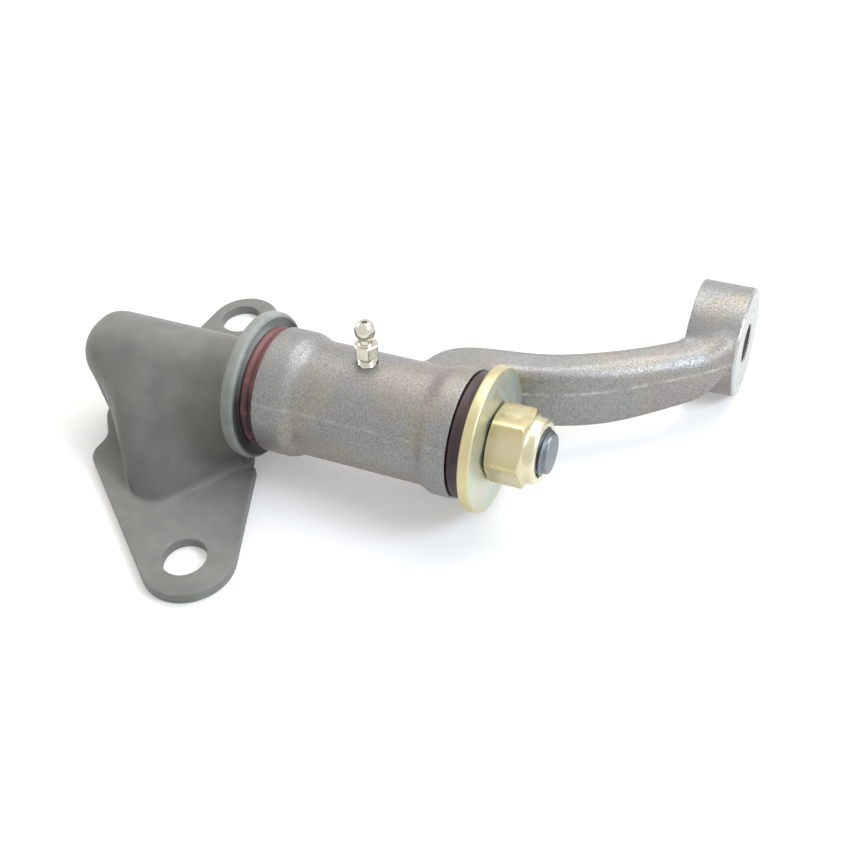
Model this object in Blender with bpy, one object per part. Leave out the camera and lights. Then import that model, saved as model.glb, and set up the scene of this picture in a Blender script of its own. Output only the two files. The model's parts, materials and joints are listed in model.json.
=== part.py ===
"""Steering idler arm: a stamped bracket with a welded pivot shaft, and a forged arm that swings on it.

Metres, +Z up. The origin is midway between the two bolt holes, on the face that bolts to the frame rail.
The pivot shaft runs along +X towards its nut, and the arm reaches out along +Y and rests on its eye.
"""
import math

import bmesh
import bpy
from mathutils import Vector
from mathutils.geometry import tessellate_polygon

# Fits between pieces
SEAT_GAP = 0.0003
SLIDE_GAP = 0.0003

# Bracket stamping
SHEET = 0.0036
BOLT_SPACING = 0.1138
BOLT_SKEW = math.radians(20.56)
BOLT_HOLE_RADIUS = 0.0071
FRONT_LOBE_RADIUS = 0.0149
REAR_LOBE_RADIUS = 0.0126
LOBE_SHIFT = 0.0012
FRONT_CORNER = (-0.0593, -0.0267)
FRONT_WAIST = (-0.0593, -0.0168)
REAR_WAIST = (-0.0602, 0.0182)
REAR_CORNER = (0.0070, 0.0232)
NECK_MARGIN = 0.0024
CORNER_RADIUS = 0.0070
FOOT_FILLET = 0.0060
NECK_FILLET = 0.0016
BUTTRESS_FRONT = (-0.0291, -0.0471)
BUTTRESS_REAR = (-0.0209, 0.0430)
BUTTRESS_RADIUS = 0.0096
MOUTH_SPREAD = 0.0028
MOUTH_FLARE = 0.0034
MOUTH_FLARE_LENGTH = 0.0065
POCKET_LENGTH = 0.0508
NECK_INSET = 0.0042
NECK_SHOULDER = 0.0066
MOUTH_TAB = 0.0022
FOOT_SHARES = ((0.0, 0.0), (0.31, 0.30), (0.64, 0.475), (0.86, 0.90), (1.0, 1.0))

# Pivot shaft, along +X
SHAFT_Y = 0.0018
SHAFT_HEIGHT = 0.0278
TAIL_RADIUS = 0.0088
TAIL_LENGTH = 0.0450
TAIL_CHAMFER = 0.0012
JOURNAL_RADIUS = 0.0100
JOURNAL_CHAMFER = 0.0008
STUD_RADIUS = 0.0070
STUD_TIP_CHAMFER = 0.0017
STUD_PROTRUSION = 0.0024
COLLAR_FACE_X = 0.0250
COLLAR_RADIUS = 0.0238
COLLAR_THICKNESS = 0.0044
COLLAR_EDGE = 0.0017

# Seals and bushes
SEAL_WIDTH = 0.0042
SEAL_RADIUS = 0.0195
SEAL_GROOVE = 0.0005
BUSH_WALL = 0.0022
BUSH_FLANGE_RADIUS = 0.0150
BUSH_LENGTH = 0.0220
BUSH_CHAMFER = 0.0007

# Forged arm
BARREL_LENGTH = 0.0640
BARREL_RADIUS = 0.0184
BARREL_END_RADIUS = 0.0201
BARREL_EDGE = 0.0007
REAR_SWELL = 0.0090
FRONT_SWELL = 0.0065
REAR_SWELL_RUN = 0.0100
FRONT_SWELL_RUN = 0.0055
ARM_LENGTH = 0.0777
ARM_WIDTH = 0.0136
ARM_DEPTH = 0.0220
ARM_LOWERED = 0.0024
ARM_TURN = math.radians(13.0)
ARM_CLEARANCE = 0.0020
ARM_EDGE_RADIUS = 0.0029
ARM_DRAFT = math.radians(4.0)
ROOT_WIDTH = 0.0211
ROOT_DEPTH = 0.0270
ROOT_INSET = 0.0015
ROOT_SINK = 0.0051
ELBOW_RISE = 0.0089
ELBOW_RUN = 0.0186
ELBOW_TUCK = 0.0030
KNEE_REACH = 0.0023
SWEEP_START = 0.0219
SWEEP_BELLY = 0.0005
SWEEP_DROP = 0.0179
SWEEP_STOP = 0.0099
TAPER_START = 0.21
EYE_ROOT_WIDTH = 0.0125
EYE_ROOT_DEPTH = 0.0155
EYE_RADIUS = 0.0181
EYE_THICKNESS = 0.0172
EYE_ROUNDING = 0.0024
EYE_CHAMFER = 0.0010
EYE_REACH_X = 0.1347
EYE_HOLE_RADIUS = 0.0065
EYE_TAPER = 0.0010
CUTTER_REACH = 0.0010

# Washer and nut
WASHER_RADIUS = 0.0225
WASHER_THICKNESS = 0.0036
WASHER_EDGE = 0.0007
NUT_ACROSS_FLATS = 0.0220
NUT_HEIGHT = 0.0150
NUT_HEX_HEIGHT = 0.0115
NUT_TURN = math.radians(20)
NUT_COLLAR_RADIUS = 0.0100
NUT_COLLAR_STEP = 0.0010
NUT_COLLAR_ROLL = 0.0012
NUT_SEAT_CHAMFER = math.radians(17)
NUT_RIM = 0.0007
INSERT_RADIUS = 0.0084
INSERT_HEIGHT = 0.0022
INSERT_EDGE = 0.0003
THREAD_CHAMFER = 0.0006
HEX_CHAMFER = math.radians(32)
CHAMFER_CIRCLE = 0.95

# Grease nipple
NIPPLE_FROM_BARREL_END = 0.0330
NIPPLE_THREAD_RADIUS = 0.0030
NIPPLE_SHANK_INSET = 0.0006
NIPPLE_STAND = 0.0143
NIPPLE_ACROSS_FLATS = 0.0070
NIPPLE_HEX_HEIGHT = 0.0042
NIPPLE_NECK_RADIUS = 0.0022
NIPPLE_NECK_HEIGHT = 0.0020
NIPPLE_HEAD_RADIUS = 0.0033
NIPPLE_HEAD_HEIGHT = 0.0056
NIPPLE_MOUTH_RADIUS = 0.0008
NIPPLE_MOUTH_LIP = 0.0007
NIPPLE_MOUTH_DEPTH = 0.0008
NIPPLE_BORE_RADIUS = 0.0015
NIPPLE_PASSAGE_RADIUS = 0.0009
CHECK_BALL_RADIUS = 0.0011
SPRING_LENGTH = 0.0052
SPRING_WIRE_RADIUS = 0.00015
SPRING_TURNS = 5

# Mesh fineness
ROUND_STEPS = 40
SHAFT_STEPS = 30
SMALL_STEPS = 24
HEX_STEPS = 36
SMALL_HEX_STEPS = 18
BALL_STEPS = 12
COIL_STEPS = 8
WIRE_STEPS = 5
SWELL_STEPS = 5
ELBOW_RINGS = 9
SWEEP_RINGS = 14
EDGE_STEPS = 3
RIBS = 24
ROUNDING_MARGIN = 0.0001

# Places worked out from the sizes above, measured along the shaft from the collar's front face
PLATE_TOP = SHEET
AXIS_ABOVE_PLATE = SHAFT_HEIGHT - PLATE_TOP
CREST_RADIUS = TAIL_RADIUS + SEAT_GAP + SHEET
BARREL_START = SEAT_GAP + SEAL_WIDTH + SEAT_GAP
BARREL_END = BARREL_START + BARREL_LENGTH
WASHER_START = BARREL_END + SEAT_GAP + SEAL_WIDTH + SEAT_GAP
WASHER_END = WASHER_START + WASHER_THICKNESS
NUT_START = WASHER_END + SEAT_GAP
NUT_END = NUT_START + NUT_HEIGHT
STUD_END = NUT_END + STUD_PROTRUSION
BUSH_BORE = JOURNAL_RADIUS + SLIDE_GAP
BUSH_RADIUS = BUSH_BORE + BUSH_WALL
BARREL_BORE = BUSH_RADIUS + SEAT_GAP
STUD_BORE = STUD_RADIUS + SLIDE_GAP
MOUTH_X = COLLAR_FACE_X - COLLAR_THICKNESS - SEAT_GAP
CREST_END_X = MOUTH_X - POCKET_LENGTH
DROOP = math.asin((SHAFT_HEIGHT - EYE_RADIUS) / ARM_LENGTH)
NIPPLE_X = BARREL_END - NIPPLE_FROM_BARREL_END
NIPPLE_TOP = BARREL_RADIUS + NIPPLE_STAND
BALL_SEAT = NIPPLE_TOP - NIPPLE_MOUTH_DEPTH
BALL_CENTRE = BALL_SEAT - math.sqrt((CHECK_BALL_RADIUS + SEAT_GAP) ** 2 - NIPPLE_MOUTH_RADIUS ** 2)
SPRING_SEAT = BALL_CENTRE - CHECK_BALL_RADIUS - SPRING_LENGTH


def clear_scene():
    for item in list(bpy.data.objects):
        bpy.data.objects.remove(item, do_unlink=True)


def finish(name, hex_colour, roughness, metallic):
    """A plain Principled material; the colour is an sRGB hex value."""
    def linear(channel):
        value = channel / 255
        return value / 12.92 if value <= 0.04045 else ((value + 0.055) / 1.055) ** 2.4
    red, green, blue = (linear(int(hex_colour[i:i + 2], 16)) for i in (0, 2, 4))
    material = bpy.data.materials.new(name)
    material.use_nodes = True
    shader = material.node_tree.nodes["Principled BSDF"]
    shader.inputs["Base Color"].default_value = (red, green, blue, 1)
    shader.inputs["Roughness"].default_value = roughness
    shader.inputs["Metallic"].default_value = metallic
    return material


def add_piece(name, bm, material, parent=None, crease_angle=30):
    """Turns a bmesh into an object, shaded smooth up to the crease angle."""
    bmesh.ops.remove_doubles(bm, verts=bm.verts, dist=1e-7)
    bmesh.ops.recalc_face_normals(bm, faces=bm.faces)
    mesh = bpy.data.meshes.new(name)
    bm.to_mesh(mesh)
    bm.free()
    mesh.materials.append(material)
    mesh.shade_smooth()
    mesh.set_sharp_from_angle(angle=math.radians(crease_angle))
    piece = bpy.data.objects.new(name, mesh)
    bpy.context.collection.objects.link(piece)
    piece.parent = parent
    return piece


def pivot(name, turn=0.0):
    """An empty on the shaft's axis, at the collar's front face."""
    empty = bpy.data.objects.new(name, None)
    empty.location = (COLLAR_FACE_X, SHAFT_Y, SHAFT_HEIGHT)
    empty.rotation_euler = (turn, 0, 0)
    bpy.context.collection.objects.link(empty)
    return empty


def cut(piece, helper, operation="DIFFERENCE"):
    """Adds a Boolean with a helper solid, which stays out of the part."""
    helper.hide_render = True
    helper.display_type = "WIRE"
    modifier = piece.modifiers.new(helper.name, "BOOLEAN")
    modifier.object = helper
    modifier.operation = operation
    modifier.solver = "EXACT"


def arc(centre, radius, start, end, steps):
    """Points on an arc from one angle to another, in degrees."""
    points = []
    for i in range(steps + 1):
        angle = math.radians(start + (end - start) * i / steps)
        points.append((centre[0] + radius * math.cos(angle), centre[1] + radius * math.sin(angle)))
    return points


def rounded(points, radii, steps=6):
    """An open path through the points, with each inner corner rounded to its radius."""
    path = [Vector(points[0])]
    for i in range(1, len(points) - 1):
        before, corner, after = (Vector(points[i + k]) for k in (-1, 0, 1))
        to_before = (before - corner).normalized()
        to_after = (after - corner).normalized()
        half = to_before.angle(to_after) / 2
        if radii[i] <= 0 or half > math.radians(89.5):
            path.append(corner)
            continue
        reach = radii[i] / math.tan(half)
        centre = corner + (to_before + to_after).normalized() * (radii[i] / math.sin(half))
        first = corner + to_before * reach - centre
        last = corner + to_after * reach - centre
        for k in range(steps + 1):
            spoke = first.normalized().slerp(last.normalized(), k / steps)
            path.append(centre + spoke * radii[i])
    path.append(Vector(points[-1]))
    return path


def lathe(profile, steps=ROUND_STEPS, closed=True, phase=0.0):
    """Turns a profile of (x, radius) points about the X axis. A closed profile makes a ring."""
    bm = bmesh.new()
    loops = []
    for x, radius in profile:
        if radius < 1e-9:
            loops.append([bm.verts.new((x, 0, 0))])
            continue
        ring = []
        for k in range(steps):
            angle = 2 * math.pi * (k + phase) / steps
            ring.append(bm.verts.new((x, radius * math.cos(angle), radius * math.sin(angle))))
        loops.append(ring)
    pairs = list(zip(loops, loops[1:]))
    if closed:
        pairs.append((loops[-1], loops[0]))
    for first, second in pairs:
        for k in range(steps):
            corners = [first[k % len(first)], first[(k + 1) % len(first)],
                       second[(k + 1) % len(second)], second[k % len(second)]]
            unique = list(dict.fromkeys(corners))
            if len(unique) > 2:
                bm.faces.new(unique)
    return bm


def ring_profile(start, end, inner, outer, edge):
    """A plain ring's section, with its outer edges rounded."""
    points = [(start, inner), (start, outer - edge)]
    points += arc((start + edge, outer - edge), edge, 180, 90, 3)[1:]
    points += arc((end - edge, outer - edge), edge, 90, 0, 3)
    points += [(end, inner)]
    return points


def smooth(value):
    value = min(max(value, 0.0), 1.0)
    return value * value * (3 - 2 * value)


# The bracket's drawn pocket

def foot_path(corner, side):
    """The line where the pocket's wall meets the plate, from the mouth round to the closed end."""
    mouth = (MOUTH_X, side * (CREST_RADIUS + MOUTH_SPREAD))
    end_x = CREST_END_X - CREST_RADIUS + NECK_INSET
    shoulder = (end_x, side * NECK_SHOULDER)
    points = [mouth, (COLLAR_FACE_X + corner[0], corner[1]), shoulder, (end_x, 0)]
    return rounded(points, [0, BUTTRESS_RADIUS, CREST_RADIUS, 0], steps=10)


def along(path, fraction):
    """The point at a fraction of a path's length."""
    lengths = [(b - a).length for a, b in zip(path, path[1:])]
    target = fraction * sum(lengths)
    for start, end, length in zip(path, path[1:], lengths):
        if target <= length:
            return start.lerp(end, target / length)
        target -= length
    return path[-1].copy()


def foot_fraction(crest_fraction):
    """How far along its foot a rib stands that starts at this fraction of the crest."""
    for (x0, y0), (x1, y1) in zip(FOOT_SHARES, FOOT_SHARES[1:]):
        if crest_fraction <= x1:
            return y0 + (y1 - y0) * (crest_fraction - x0) / (x1 - x0)
    return 1.0


def rib_profile(reach, crest, fillet, inward):
    """One rib's section as (distance out, height): crest arc, straight wall, foot fillet."""
    crest_centre = Vector((0, AXIS_ABOVE_PLATE))
    foot_centre = Vector((reach, fillet))
    line = foot_centre - crest_centre
    along_line = line.normalized()
    outward = Vector((-along_line.y, along_line.x))
    cosine = (crest + fillet) / line.length
    normal = along_line * cosine + outward * math.sqrt(1 - cosine * cosine)
    lean = math.degrees(math.atan2(normal.y, normal.x))
    points = arc(crest_centre, crest - inward, 90, lean, 8)
    bottom = arc(foot_centre, fillet + inward, 180 + lean, 270, 4)
    top = Vector(points[-1])
    for k in (1, 2, 3):
        points.append(tuple(top.lerp(Vector(bottom[0]), k / 4)))
    return points + bottom


def pocket_rib(path, side, fraction, inward):
    """The points of one rib in space, from the crest down to the plate."""
    straight = MOUTH_X - CREST_END_X
    turn = CREST_RADIUS * math.pi / 2
    travelled = fraction * (straight + turn)
    if travelled <= straight:
        centre = Vector((MOUTH_X - travelled, 0))
        angle = side * 90
    else:
        centre = Vector((CREST_END_X, 0))
        angle = side * (90 + 90 * (travelled - straight) / turn)
    outward = Vector((math.cos(math.radians(angle)), math.sin(math.radians(angle))))
    sideways = Vector((-outward.y, outward.x))
    foot = along(path, foot_fraction(fraction)) - centre
    reach = foot.dot(outward)
    shift = foot.dot(sideways)
    flare = max(0.0, 1 - travelled / MOUTH_FLARE_LENGTH)
    crest = CREST_RADIUS + MOUTH_FLARE * flare * flare
    fillet = min(max(reach - crest, NECK_FILLET), FOOT_FILLET)
    points = []
    for out, height in rib_profile(reach, crest, fillet, inward):
        place = centre + outward * out + sideways * shift * (out / reach) ** 2
        points.append(Vector((place.x, place.y + SHAFT_Y, PLATE_TOP + height)))
    return points


def lobe_centre(side):
    """A bolt hole's centre: the front hole is at side -1, the rear one at side 1."""
    half = BOLT_SPACING / 2
    return Vector((-side * half * math.sin(BOLT_SKEW), side * half * math.cos(BOLT_SKEW)))


def tangent(centre, radius, point, side):
    """Where a line from the point touches a circle, on the side that is asked for."""
    spoke = Vector(point) - centre
    lean = side * math.acos(radius / spoke.length)
    direction = Vector((spoke.x * math.cos(lean) - spoke.y * math.sin(lean),
                        spoke.x * math.sin(lean) + spoke.y * math.cos(lean))).normalized()
    return centre + direction * radius


def lobe_arc(side, before, after):
    """The rounded end of the plate about one bolt hole, between its two straight edges."""
    radius = FRONT_LOBE_RADIUS if side < 0 else REAR_LOBE_RADIUS
    centre = lobe_centre(side) + Vector((LOBE_SHIFT, 0))
    first = tangent(centre, radius, before, -1) - centre
    last = tangent(centre, radius, after, 1) - centre
    start = math.degrees(math.atan2(first.y, first.x))
    end = math.degrees(math.atan2(last.y, last.x))
    return [Vector(point) for point in arc(centre, radius, start, end - 360 * (end > start), 16)]


def plate_outline():
    """The blank's edge, clockwise from the mouth's front corner to its rear corner."""
    def place(x, y):
        return Vector((COLLAR_FACE_X + x, SHAFT_Y + y))
    mouth_x = MOUTH_X - COLLAR_FACE_X + MOUTH_TAB
    mouth_y = CREST_RADIUS + MOUTH_SPREAD - MOUTH_TAB / 2
    neck_x = CREST_END_X - COLLAR_FACE_X - CREST_RADIUS + NECK_INSET - NECK_MARGIN
    mouth = place(mouth_x, -mouth_y)
    front = place(*FRONT_CORNER)
    rear = place(*REAR_CORNER)
    front_waist = place(*FRONT_WAIST)
    rear_waist = place(*REAR_WAIST)
    front_lobe = lobe_arc(-1, mouth, front)
    rear_lobe = lobe_arc(1, rear_waist, rear)
    left = [front_lobe[-1], front, front_waist, place(neck_x, -NECK_SHOULDER),
            place(neck_x, NECK_SHOULDER), rear_waist, rear_lobe[0]]
    left = rounded(left, [0, CORNER_RADIUS, CORNER_RADIUS, CREST_RADIUS, CREST_RADIUS, CORNER_RADIUS, 0], 5)
    right = [rear_lobe[-1], rear, place(REAR_CORNER[0], mouth_y), place(mouth_x, mouth_y)]
    right = rounded(right, [0, CORNER_RADIUS, CORNER_RADIUS / 2, 0], 5)
    return [mouth] + front_lobe + left[1:-1] + rear_lobe + right[1:]


def bracket():
    """One stamping: a skewed two-bolt plate with a tapered pocket drawn up for the shaft."""
    bm = bmesh.new()
    fronts = foot_path(BUTTRESS_FRONT, -1)
    rears = foot_path(BUTTRESS_REAR, 1)
    skins = []
    for inward in (0.0, SHEET):
        ribs = [pocket_rib(fronts, -1, k / RIBS, inward) for k in range(RIBS + 1)]
        ribs += [pocket_rib(rears, 1, k / RIBS, inward) for k in range(RIBS - 1, -1, -1)]
        grid = [[bm.verts.new(point) for point in rib] for rib in ribs]
        for left, right in zip(grid, grid[1:]):
            for a, b, c, d in zip(left, right, right[1:], left[1:]):
                bm.faces.new((a, b, c, d))
        skins.append(grid)
    outline = plate_outline()
    foot = [rib[-1].co.xy for rib in skins[0]]
    holes = [arc(lobe_centre(side), BOLT_HOLE_RADIUS, 0, 360, SMALL_STEPS)[:-1] for side in (-1, 1)]
    loops = [outline + foot[::-1]] + holes
    triangles = tessellate_polygon([[Vector((x, y, 0)) for x, y in loop] for loop in loops])
    levels = []
    for grid, height in zip(skins, (PLATE_TOP, 0.0)):
        edge = [bm.verts.new((point.x, point.y, height)) for point in outline]
        walls = [[bm.verts.new((x, y, height)) for x, y in hole] for hole in holes]
        flat = edge + [rib[-1] for rib in grid][::-1] + walls[0] + walls[1]
        for triangle in triangles:
            bm.faces.new([flat[k] for k in triangle])
        levels.append((edge, walls))
    for upper, lower in zip(levels[0][1], levels[1][1]):
        for k in range(len(upper)):
            bm.faces.new((upper[k - 1], upper[k], lower[k], lower[k - 1]))
    rim = list(zip(skins[0][0], skins[1][0]))
    rim += list(zip(levels[0][0], levels[1][0]))
    rim += list(zip(skins[0][-1], skins[1][-1]))[::-1]
    for (a, b), (c, d) in zip(rim, rim[1:]):
        bm.faces.new((a, c, d, b))
    return add_piece("idler_bracket", bm, finish("bracket_paint", "7c7b76", 0.45, 0.0), crease_angle=40)


# Turned pieces on the shaft's axis

def thrust_collar(parent, paint):
    """The welded ring that the arm's barrel bears against."""
    bore = TAIL_RADIUS + SEAT_GAP
    profile = ring_profile(-COLLAR_THICKNESS, 0.0, bore, COLLAR_RADIUS, COLLAR_EDGE)
    return add_piece("thrust_collar", lathe(profile), paint, parent)


def pivot_shaft(parent, steel):
    """A stepped shaft: tail in the pocket, journal in the bushes, threaded stud for the nut."""
    shoulder = WASHER_START - SEAT_GAP
    profile = [
        (-TAIL_LENGTH, 0.0),
        (-TAIL_LENGTH, TAIL_RADIUS - TAIL_CHAMFER),
        (-TAIL_LENGTH + TAIL_CHAMFER, TAIL_RADIUS),
        (SEAT_GAP, TAIL_RADIUS),
        (SEAT_GAP, JOURNAL_RADIUS),
        (shoulder - JOURNAL_CHAMFER, JOURNAL_RADIUS),
        (shoulder, JOURNAL_RADIUS - JOURNAL_CHAMFER),
        (shoulder, STUD_RADIUS),
        (STUD_END - STUD_TIP_CHAMFER, STUD_RADIUS),
        (STUD_END, STUD_RADIUS - STUD_TIP_CHAMFER),
        (STUD_END, 0.0),
    ]
    return add_piece("pivot_shaft", lathe(profile, SHAFT_STEPS, closed=False), steel, parent)


def dust_seal(name, start, parent, rubber):
    """A rubber ring round the bush's flange, with a shallow groove so that it can squeeze."""
    inner = BUSH_FLANGE_RADIUS + SEAT_GAP
    end = start + SEAL_WIDTH
    middle = (start + end) / 2
    trough = SEAL_RADIUS - SEAL_GROOVE
    profile = [(start, inner), (start, trough)]
    profile += arc((start + SEAL_GROOVE, trough), SEAL_GROOVE, 180, 90, 2)[1:]
    profile += [(middle - SEAL_GROOVE, SEAL_RADIUS), (middle, trough), (middle + SEAL_GROOVE, SEAL_RADIUS)]
    profile += arc((end - SEAL_GROOVE, trough), SEAL_GROOVE, 90, 0, 2)
    profile += [(end, inner)]
    return add_piece(name, lathe(profile), rubber, parent)


def flanged_bush(name, flange_face, direction, parent, plastic):
    """A pressed-in bush; its flange takes the thrust and its sleeve goes into the barrel."""
    flange_back = flange_face + direction * SEAL_WIDTH
    tip = flange_back + direction * (SEAT_GAP + BUSH_LENGTH)
    profile = [
        (flange_face, BUSH_BORE + BUSH_CHAMFER),
        (flange_face, BUSH_FLANGE_RADIUS),
        (flange_back, BUSH_FLANGE_RADIUS),
        (flange_back, BUSH_RADIUS),
        (tip - direction * BUSH_CHAMFER, BUSH_RADIUS),
        (tip, BUSH_RADIUS - BUSH_CHAMFER),
        (tip, BUSH_BORE),
        (flange_face + direction * BUSH_CHAMFER, BUSH_BORE),
    ]
    return add_piece(name, lathe(profile, SHAFT_STEPS), plastic, parent)


def plate_washer(parent, zinc):
    """The large washer that keeps the barrel on the shaft."""
    profile = ring_profile(WASHER_START, WASHER_END, STUD_BORE, WASHER_RADIUS, WASHER_EDGE)
    return add_piece("plate_washer", lathe(profile), zinc, parent)


def trim_to_hexagon(bm, start, end, across_flats):
    """Brings what lies between two faces inside a hexagon about the X axis."""
    sixth = math.pi / 3
    margin = (end - start) * ROUNDING_MARGIN
    for vert in bm.verts:
        if start - margin <= vert.co.x <= end + margin:
            radius = math.hypot(vert.co.y, vert.co.z)
            off_flat = (math.atan2(vert.co.z, vert.co.y) + sixth / 2) % sixth - sixth / 2
            limit = across_flats / 2 / math.cos(off_flat)
            if radius > limit:
                vert.co.y *= limit / radius
                vert.co.z *= limit / radius


def chamfered_flank(start, end, across_flats, start_angle, end_angle):
    """A turned blank's outline whose chamfers run from inside the flats out past the corners."""
    corner = across_flats / math.sqrt(3)
    inner = across_flats / 2 * CHAMFER_CIRCLE
    radii = [inner, (inner + corner) / 2, corner]
    first = [(start + (radius - inner) * math.tan(start_angle), radius) for radius in radii]
    last = [(end - (radius - inner) * math.tan(end_angle), radius) for radius in radii[::-1]]
    return first + last


def lock_nut(parent, zinc):
    """A prevailing-torque nut: a chamfered hexagon with a domed collar rolled over its insert."""
    hex_end = NUT_START + NUT_HEX_HEIGHT
    pocket_end = NUT_END - NUT_RIM
    pocket_start = pocket_end - INSERT_HEIGHT - 2 * SEAT_GAP
    pocket = INSERT_RADIUS + SEAT_GAP
    dome = NUT_END - hex_end - NUT_COLLAR_STEP
    profile = [(NUT_START, STUD_BORE + THREAD_CHAMFER)]
    profile += chamfered_flank(NUT_START, hex_end, NUT_ACROSS_FLATS, NUT_SEAT_CHAMFER, HEX_CHAMFER)
    profile += [(hex_end, NUT_COLLAR_RADIUS), (hex_end + NUT_COLLAR_STEP, NUT_COLLAR_RADIUS)]
    for x, radius in arc((0, 0), 1.0, 90, 0, 6)[1:]:
        profile.append((NUT_END - dome + dome * x, NUT_COLLAR_RADIUS - NUT_COLLAR_ROLL * (1 - radius)))
    profile += [
        (NUT_END, STUD_BORE + THREAD_CHAMFER / 2),
        (pocket_end, STUD_BORE),
        (pocket_end, pocket),
        (pocket_start, pocket),
        (pocket_start, STUD_BORE),
        (NUT_START + THREAD_CHAMFER, STUD_BORE),
    ]
    bm = lathe(profile, HEX_STEPS)
    trim_to_hexagon(bm, NUT_START, hex_end, NUT_ACROSS_FLATS)
    nut = add_piece("lock_nut", bm, zinc, parent)
    nut.rotation_euler = (NUT_TURN, 0, 0)
    return nut


def nut_insert(parent, nylon):
    """The nylon ring that grips the stud's thread, held in the nut's rolled collar."""
    end = NUT_END - NUT_RIM - SEAT_GAP
    profile = ring_profile(end - INSERT_HEIGHT, end, STUD_BORE, INSERT_RADIUS, INSERT_EDGE)
    return add_piece("nut_insert", lathe(profile, SMALL_STEPS), nylon, parent)


# The forged arm

def bezier(points, t):
    a, b, c, d = (Vector(point) for point in points)
    s = 1 - t
    place = a * s**3 + b * 3 * s * s * t + c * 3 * s * t * t + d * t**3
    heading = (b - a) * 3 * s * s + (c - b) * 6 * s * t + (d - c) * 3 * t * t
    return place, heading.normalized()


def arm_section(width, depth):
    """A forging's section: rounded edges, and sides that draft away from the parting line."""
    half_width = width / 2
    half_depth = depth / 2
    edge = ARM_EDGE_RADIUS
    draft = (half_depth - edge) * math.tan(ARM_DRAFT)
    quarter = [(half_width, 0.0)]
    quarter += arc((half_width - draft - edge, half_depth - edge), edge, 0, 90, EDGE_STEPS)
    points = quarter + [(-x, y) for x, y in quarter[::-1]]
    points += [(-x, -y) for x, y in quarter[1:]] + [(x, -y) for x, y in quarter[:0:-1]]
    return list(dict.fromkeys(points))


def loft(rings):
    """A closed skin over rings of the same number of places, with a flat cap at each end."""
    bm = bmesh.new()
    loops = [[bm.verts.new(place) for place in ring] for ring in rings]
    for first, second in zip(loops, loops[1:]):
        for k in range(len(first)):
            bm.faces.new((first[k - 1], first[k], second[k], second[k - 1]))
    bm.faces.new(loops[0])
    bm.faces.new(loops[-1])
    return bm


def section_between(outer, inner, depth, level):
    """The forging's section, stood between a point on its outer side and one on its inner side."""
    middle = (outer + inner) / 2
    across = (inner - outer).normalized()
    ring = []
    for side, rise in arm_section((inner - outer).length, depth):
        point = middle + across * side
        ring.append((point.x, point.y, level + rise))
    return ring


def between(start, end, share):
    return start + (end - start) * share


def knee():
    """Outer and inner side of the arm where it has cleared the washer, and where it heads there."""
    heading = Vector((math.cos(ARM_TURN), math.sin(ARM_TURN)))
    inner = Vector((WASHER_END, WASHER_RADIUS + ARM_CLEARANCE)) + heading * (KNEE_REACH / heading.x)
    return inner + Vector((-heading.y, heading.x)) * ARM_WIDTH, inner, heading


def elbow_sections(outer_knee, inner_knee, heading):
    """Turns the arm out of the barrel: a broad outer curve and a tight inner one past the seal."""
    root_end = BARREL_END - ROOT_INSET
    root_start = root_end - ROOT_WIDTH
    root_depth = BARREL_BORE - ROOT_SINK
    corner = inner_knee.y - (inner_knee.x - root_end) * math.tan(ARM_TURN)
    outer = [(root_start, root_depth), (root_start, outer_knee.y - ELBOW_RISE),
             outer_knee - heading * ELBOW_RUN, outer_knee]
    inner = [(root_end, root_depth), (root_end, corner - ELBOW_TUCK), (root_end, corner), inner_knee]
    rings = []
    for k in range(ELBOW_RINGS):
        share = k / ELBOW_RINGS
        depth = between(ROOT_DEPTH, ARM_DEPTH, smooth(share))
        level = between(0.0, -ARM_LOWERED, smooth(share))
        rings.append(section_between(bezier(outer, share)[0], bezier(inner, share)[0], depth, level))
    return rings


def sweep_sections(start, heading):
    """Carries the arm in one long bend to the eye, rising to its middle and getting slimmer."""
    eye = Vector((EYE_REACH_X - EYE_THICKNESS / 2, ARM_LENGTH))
    line = [start, start + heading * SWEEP_START,
            eye + Vector((SWEEP_BELLY, -SWEEP_DROP)), eye - Vector((0, SWEEP_STOP))]
    rings = []
    for k in range(SWEEP_RINGS + 1):
        share = k / SWEEP_RINGS
        place, forward = bezier(line, share)
        taper = smooth((share - TAPER_START) / (1 - TAPER_START))
        across = Vector((forward.y, -forward.x)) * between(ARM_WIDTH, EYE_ROOT_WIDTH, taper) / 2
        depth = between(ARM_DEPTH, EYE_ROOT_DEPTH, taper)
        level = between(-ARM_LOWERED, 0.0, taper)
        rings.append(section_between(place - across, place + across, depth, level))
    return rings


def arm_stock(parent):
    """The curved arm itself, from inside the barrel's wall, past the washer, to the eye."""
    outer, inner, heading = knee()
    rings = elbow_sections(outer, inner, heading) + sweep_sections((outer + inner) / 2, heading)
    return add_piece("arm_stock", loft(rings), None, parent)


def barrel_stock():
    """The barrel's outside, swollen at both ends where the bushes press in."""
    swell = BARREL_END_RADIUS - BARREL_RADIUS
    profile = [(BARREL_START, 0.0), (BARREL_START, BARREL_END_RADIUS - BARREL_EDGE),
               (BARREL_START + BARREL_EDGE, BARREL_END_RADIUS)]
    for k in range(SWELL_STEPS + 1):
        share = k / SWELL_STEPS
        x = BARREL_START + REAR_SWELL + REAR_SWELL_RUN * share
        profile.append((x, BARREL_END_RADIUS - swell * smooth(share)))
    for k in range(SWELL_STEPS + 1):
        share = k / SWELL_STEPS
        x = BARREL_END - FRONT_SWELL - FRONT_SWELL_RUN * (1 - share)
        profile.append((x, BARREL_RADIUS + swell * smooth(share)))
    profile += [(BARREL_END - BARREL_EDGE, BARREL_END_RADIUS), (BARREL_END, BARREL_END_RADIUS - BARREL_EDGE),
                (BARREL_END, 0.0)]
    return lathe(profile, ROUND_STEPS, closed=False)


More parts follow.
